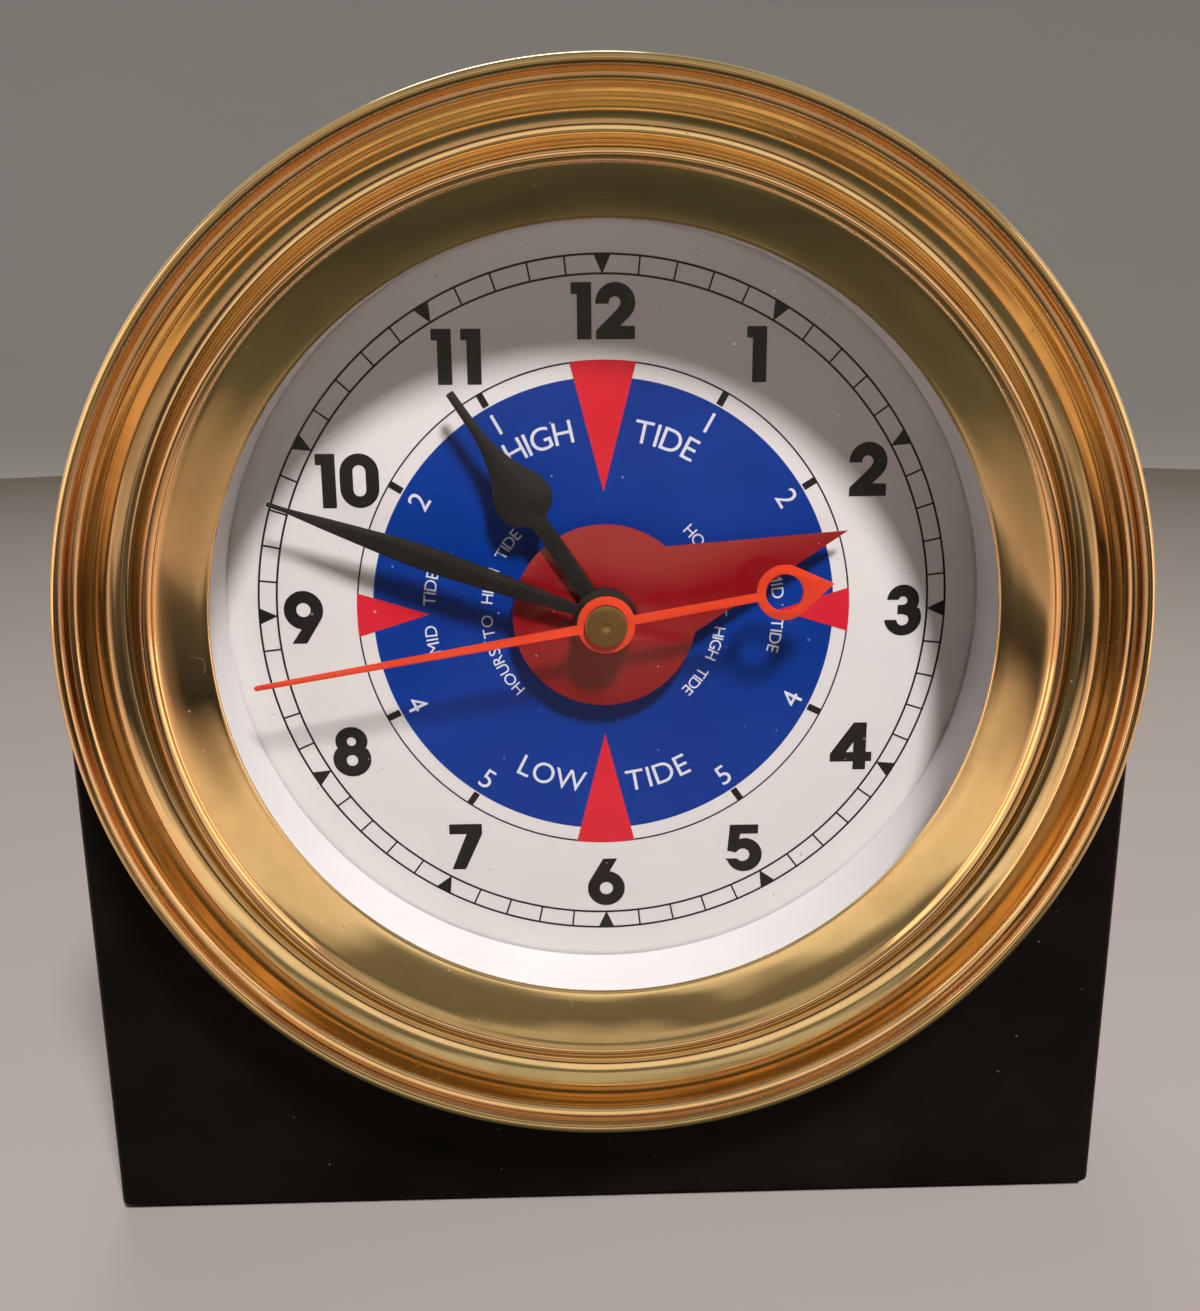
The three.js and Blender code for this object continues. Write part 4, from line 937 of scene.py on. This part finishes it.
# ---------------------------------------------------------------- the setting
floor_mat = Mat("studio_floor")
v = floor_mat.noise(3.0, 4, 0.5)
floor_mat.set(Base_Color=floor_mat.mix(floor_mat.rng(v, 0.3, 0.7, 0, 1), (0.44, 0.405, 0.375), (0.47, 0.435, 0.40)), Roughness=0.70)
bm = bmesh.new()
bmesh.ops.create_circle(bm, cap_ends=True, radius=1.6, segments=96)
me = bpy.data.meshes.new("floor"); bm.to_mesh(me); bm.free()
floor = bpy.data.objects.new("floor", me); me.materials.append(floor_mat.m)
scene.collection.objects.link(floor)
bm = bmesh.new()
sweep = [(1.6, 0.0), (1.9, 0.01), (2.2, 0.06), (2.5, 0.18), (2.75, 0.4), (2.9, 0.75), (2.95, 1.2), (2.95, 4.0)]
rings = [[bm.verts.new((r * math.cos(2 * math.pi * k / 96), r * math.sin(2 * math.pi * k / 96), z)) for k in range(96)] for r, z in sweep]
for a, b in zip(rings, rings[1:]):
    for k in range(96):
        f = bm.faces.new((a[k], b[k], b[(k + 1) % 96], a[(k + 1) % 96])); f.smooth = True
me = bpy.data.meshes.new("backdrop"); bm.to_mesh(me); bm.free()
back_mat = Mat("studio_backdrop")
v = back_mat.noise(1.5, 3, 0.5)
back_mat.set(Base_Color=back_mat.mix(back_mat.rng(v, 0.3, 0.7, 0, 1), (0.74, 0.72, 0.68), (0.78, 0.76, 0.72)), Roughness=0.8, Emission_Color=(0.62, 0.60, 0.54, 1), Emission_Strength=0.16)
sweep_o = bpy.data.objects.new("backdrop", me); me.materials.append(back_mat.m)
scene.collection.objects.link(sweep_o)
sweep_o.visible_glossy = sweep_o.visible_diffuse = sweep_o.visible_shadow = sweep_o.visible_transmission = False
floor.visible_glossy = False
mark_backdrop(floor, sweep_o)

CENTRE = Vector((0, -0.004, 0.09))


def lamp(name, toward, dist, size, power, colour, size_y=None, spread=180, diffuse=True):
    d = Vector(toward).normalized()
    li = bpy.data.lights.new(name, "AREA")
    li.energy, li.color, li.size = power, colour, size
    if size_y:
        li.shape, li.size_y = "RECTANGLE", size_y
    else:
        li.shape = "DISK"
    li.spread = math.radians(spread)
    o = bpy.data.objects.new(name, li)
    scene.collection.objects.link(o)
    o.location = CENTRE + d * dist
    o.rotation_mode = "QUATERNION"
    o.rotation_quaternion = (-d).to_track_quat("-Z", "Y")
    o.visible_diffuse = diffuse
    return o


key = lamp("key", (0.34, -1.0, 1.25), 1.15, 0.20, 16.5, (1.0, 0.945, 0.955))
key.visible_glossy = False
lamp("left_soft", (-1.0, -0.30, 0.30), 1.1, 0.35, 1.3, (1.0, 0.72, 0.45), 1.0, diffuse=False)
lamp("right_soft", (1.0, -0.25, 0.20), 1.1, 0.30, 1.0, (1.0, 0.78, 0.52), 1.0, diffuse=False)
lamp("back_top", (-0.2, 0.8, 1.2), 1.3, 0.6, 3.0, (0.95, 0.97, 1.0), 0.4)

world = bpy.data.worlds.new("studio")
scene.world = world
world.use_nodes = True
wt = world.node_tree
wt.nodes.clear()
wo = wt.nodes.new("ShaderNodeOutputWorld")
bg_soft, bg_gloss, bg_cam = (wt.nodes.new("ShaderNodeBackground") for _ in range(3))
bg_soft.inputs[0].default_value, bg_soft.inputs[1].default_value = (0.66, 0.52, 0.42, 1), 0.045
bg_cam.inputs[0].default_value, bg_cam.inputs[1].default_value = (0.60, 0.585, 0.55, 1), 1.0
tc = wt.nodes.new("ShaderNodeTexCoord")
sx = wt.nodes.new("ShaderNodeSeparateXYZ"); wt.links.new(tc.outputs["Generated"], sx.inputs[0])
no = wt.nodes.new("ShaderNodeTexNoise"); no.inputs["Scale"].default_value = 2.2; no.inputs["Detail"].default_value = 2.0
wt.links.new(tc.outputs["Generated"], no.inputs["Vector"])
level = wt.nodes.new("ShaderNodeMath"); level.operation = "MULTIPLY_ADD"; level.inputs[1].default_value, level.inputs[2].default_value = 0.5, 0.36; wt.links.new(sx.outputs[2], level.inputs[0])
add = wt.nodes.new("ShaderNodeMath"); add.operation = "MULTIPLY_ADD"; add.inputs[1].default_value = 0.28; wt.links.new(no.outputs["Fac"], add.inputs[0]); wt.links.new(level.outputs[0], add.inputs[2])
up = wt.nodes.new("ShaderNodeValToRGB"); wt.links.new(add.outputs[0], up.inputs[0])
e = up.color_ramp.elements
stops = [(0.0, (0.10, 0.095, 0.060)), (0.10, (0.060, 0.058, 0.038)), (0.20, (0.12, 0.105, 0.065)), (0.25, (0.38, 0.28, 0.18)), (0.31, (0.52, 0.37, 0.25)), (0.345, (0.10, 0.08, 0.055)), (0.43, (0.026, 0.022, 0.017)), (0.47, (0.42, 0.29, 0.19)), (0.54, (0.95, 0.74, 0.50)), (0.66, (0.85, 0.72, 0.52)), (0.71, (0.20, 0.17, 0.11)), (0.77, (0.16, 0.14, 0.10)), (0.83, (0.52, 0.45, 0.31)), (0.95, (0.48, 0.42, 0.29)), (1.0, (0.22, 0.20, 0.14))]
while len(e) < len(stops):
    e.new(0.5)
for i, (p, c) in enumerate(stops):
    e[i].position, e[i].color = p, (*c, 1)
side = wt.nodes.new("ShaderNodeMath"); side.operation = "ABSOLUTE"; wt.links.new(sx.outputs[0], side.inputs[0])
side2 = wt.nodes.new("ShaderNodeMapRange"); wt.links.new(side.outputs[0], side2.inputs[0])
side2.inputs[1].default_value, side2.inputs[2].default_value, side2.inputs[3].default_value, side2.inputs[4].default_value = 0.70, 0.92, 0.0, 1.0
mx = wt.nodes.new("ShaderNodeMix"); mx.data_type = "RGBA"
wt.links.new(side2.outputs[0], mx.inputs[0]); wt.links.new(up.outputs[0], mx.inputs[6]); mx.inputs[7].default_value = (0.95, 0.62, 0.42, 1)
wt.links.new(mx.outputs[2], bg_gloss.inputs[0]); bg_gloss.inputs[1].default_value = 1.0
lp = wt.nodes.new("ShaderNodeLightPath")
m1 = wt.nodes.new("ShaderNodeMixShader"); 
first = wt.nodes.new("ShaderNodeMath"); first.operation = "LESS_THAN"; first.inputs[1].default_value = 0.5; wt.links.new(lp.outputs["Diffuse Depth"], first.inputs[0])
seen = wt.nodes.new("ShaderNodeMath"); seen.operation = "MULTIPLY"; wt.links.new(lp.outputs["Is Glossy Ray"], seen.inputs[0]); wt.links.new(first.outputs[0], seen.inputs[1])
wt.links.new(seen.outputs[0], m1.inputs[0]); wt.links.new(bg_soft.outputs[0], m1.inputs[1]); wt.links.new(bg_gloss.outputs[0], m1.inputs[2])
m2 = wt.nodes.new("ShaderNodeMixShader"); wt.links.new(lp.outputs["Is Camera Ray"], m2.inputs[0]); wt.links.new(m1.outputs[0], m2.inputs[1]); wt.links.new(bg_cam.outputs[0], m2.inputs[2])
wt.links.new(m2.outputs[0], wo.inputs[0])

# ------------------------------------------------------------------ the camera
cam_data = bpy.data.cameras.new("camera")
cam_data.sensor_fit, cam_data.sensor_width = "AUTO", 36.0
cam_data.lens = 1100.0 * 36.0 / 1311.0
cam_data.shift_y = -37.5 / 1311.0
cam_data.clip_start, cam_data.clip_end = 0.005, 50.0
cam = bpy.data.objects.new("camera", cam_data)
scene.collection.objects.link(cam)
right, up_v, back_v = Vector((0.999626, -0.026301, -0.007487)), Vector((0.012834, 0.209455, 0.977734)), Vector((-0.024148, -0.977465, 0.209714))
cam.matrix_world = Matrix(((right.x, up_v.x, back_v.x, -0.004548), (right.y, up_v.y, back_v.y, -0.161476), (right.z, up_v.z, back_v.z, 0.124479), (0, 0, 0, 1)))
scene.camera = cam
scene.view_settings.view_transform = "Standard"

lo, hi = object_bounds()
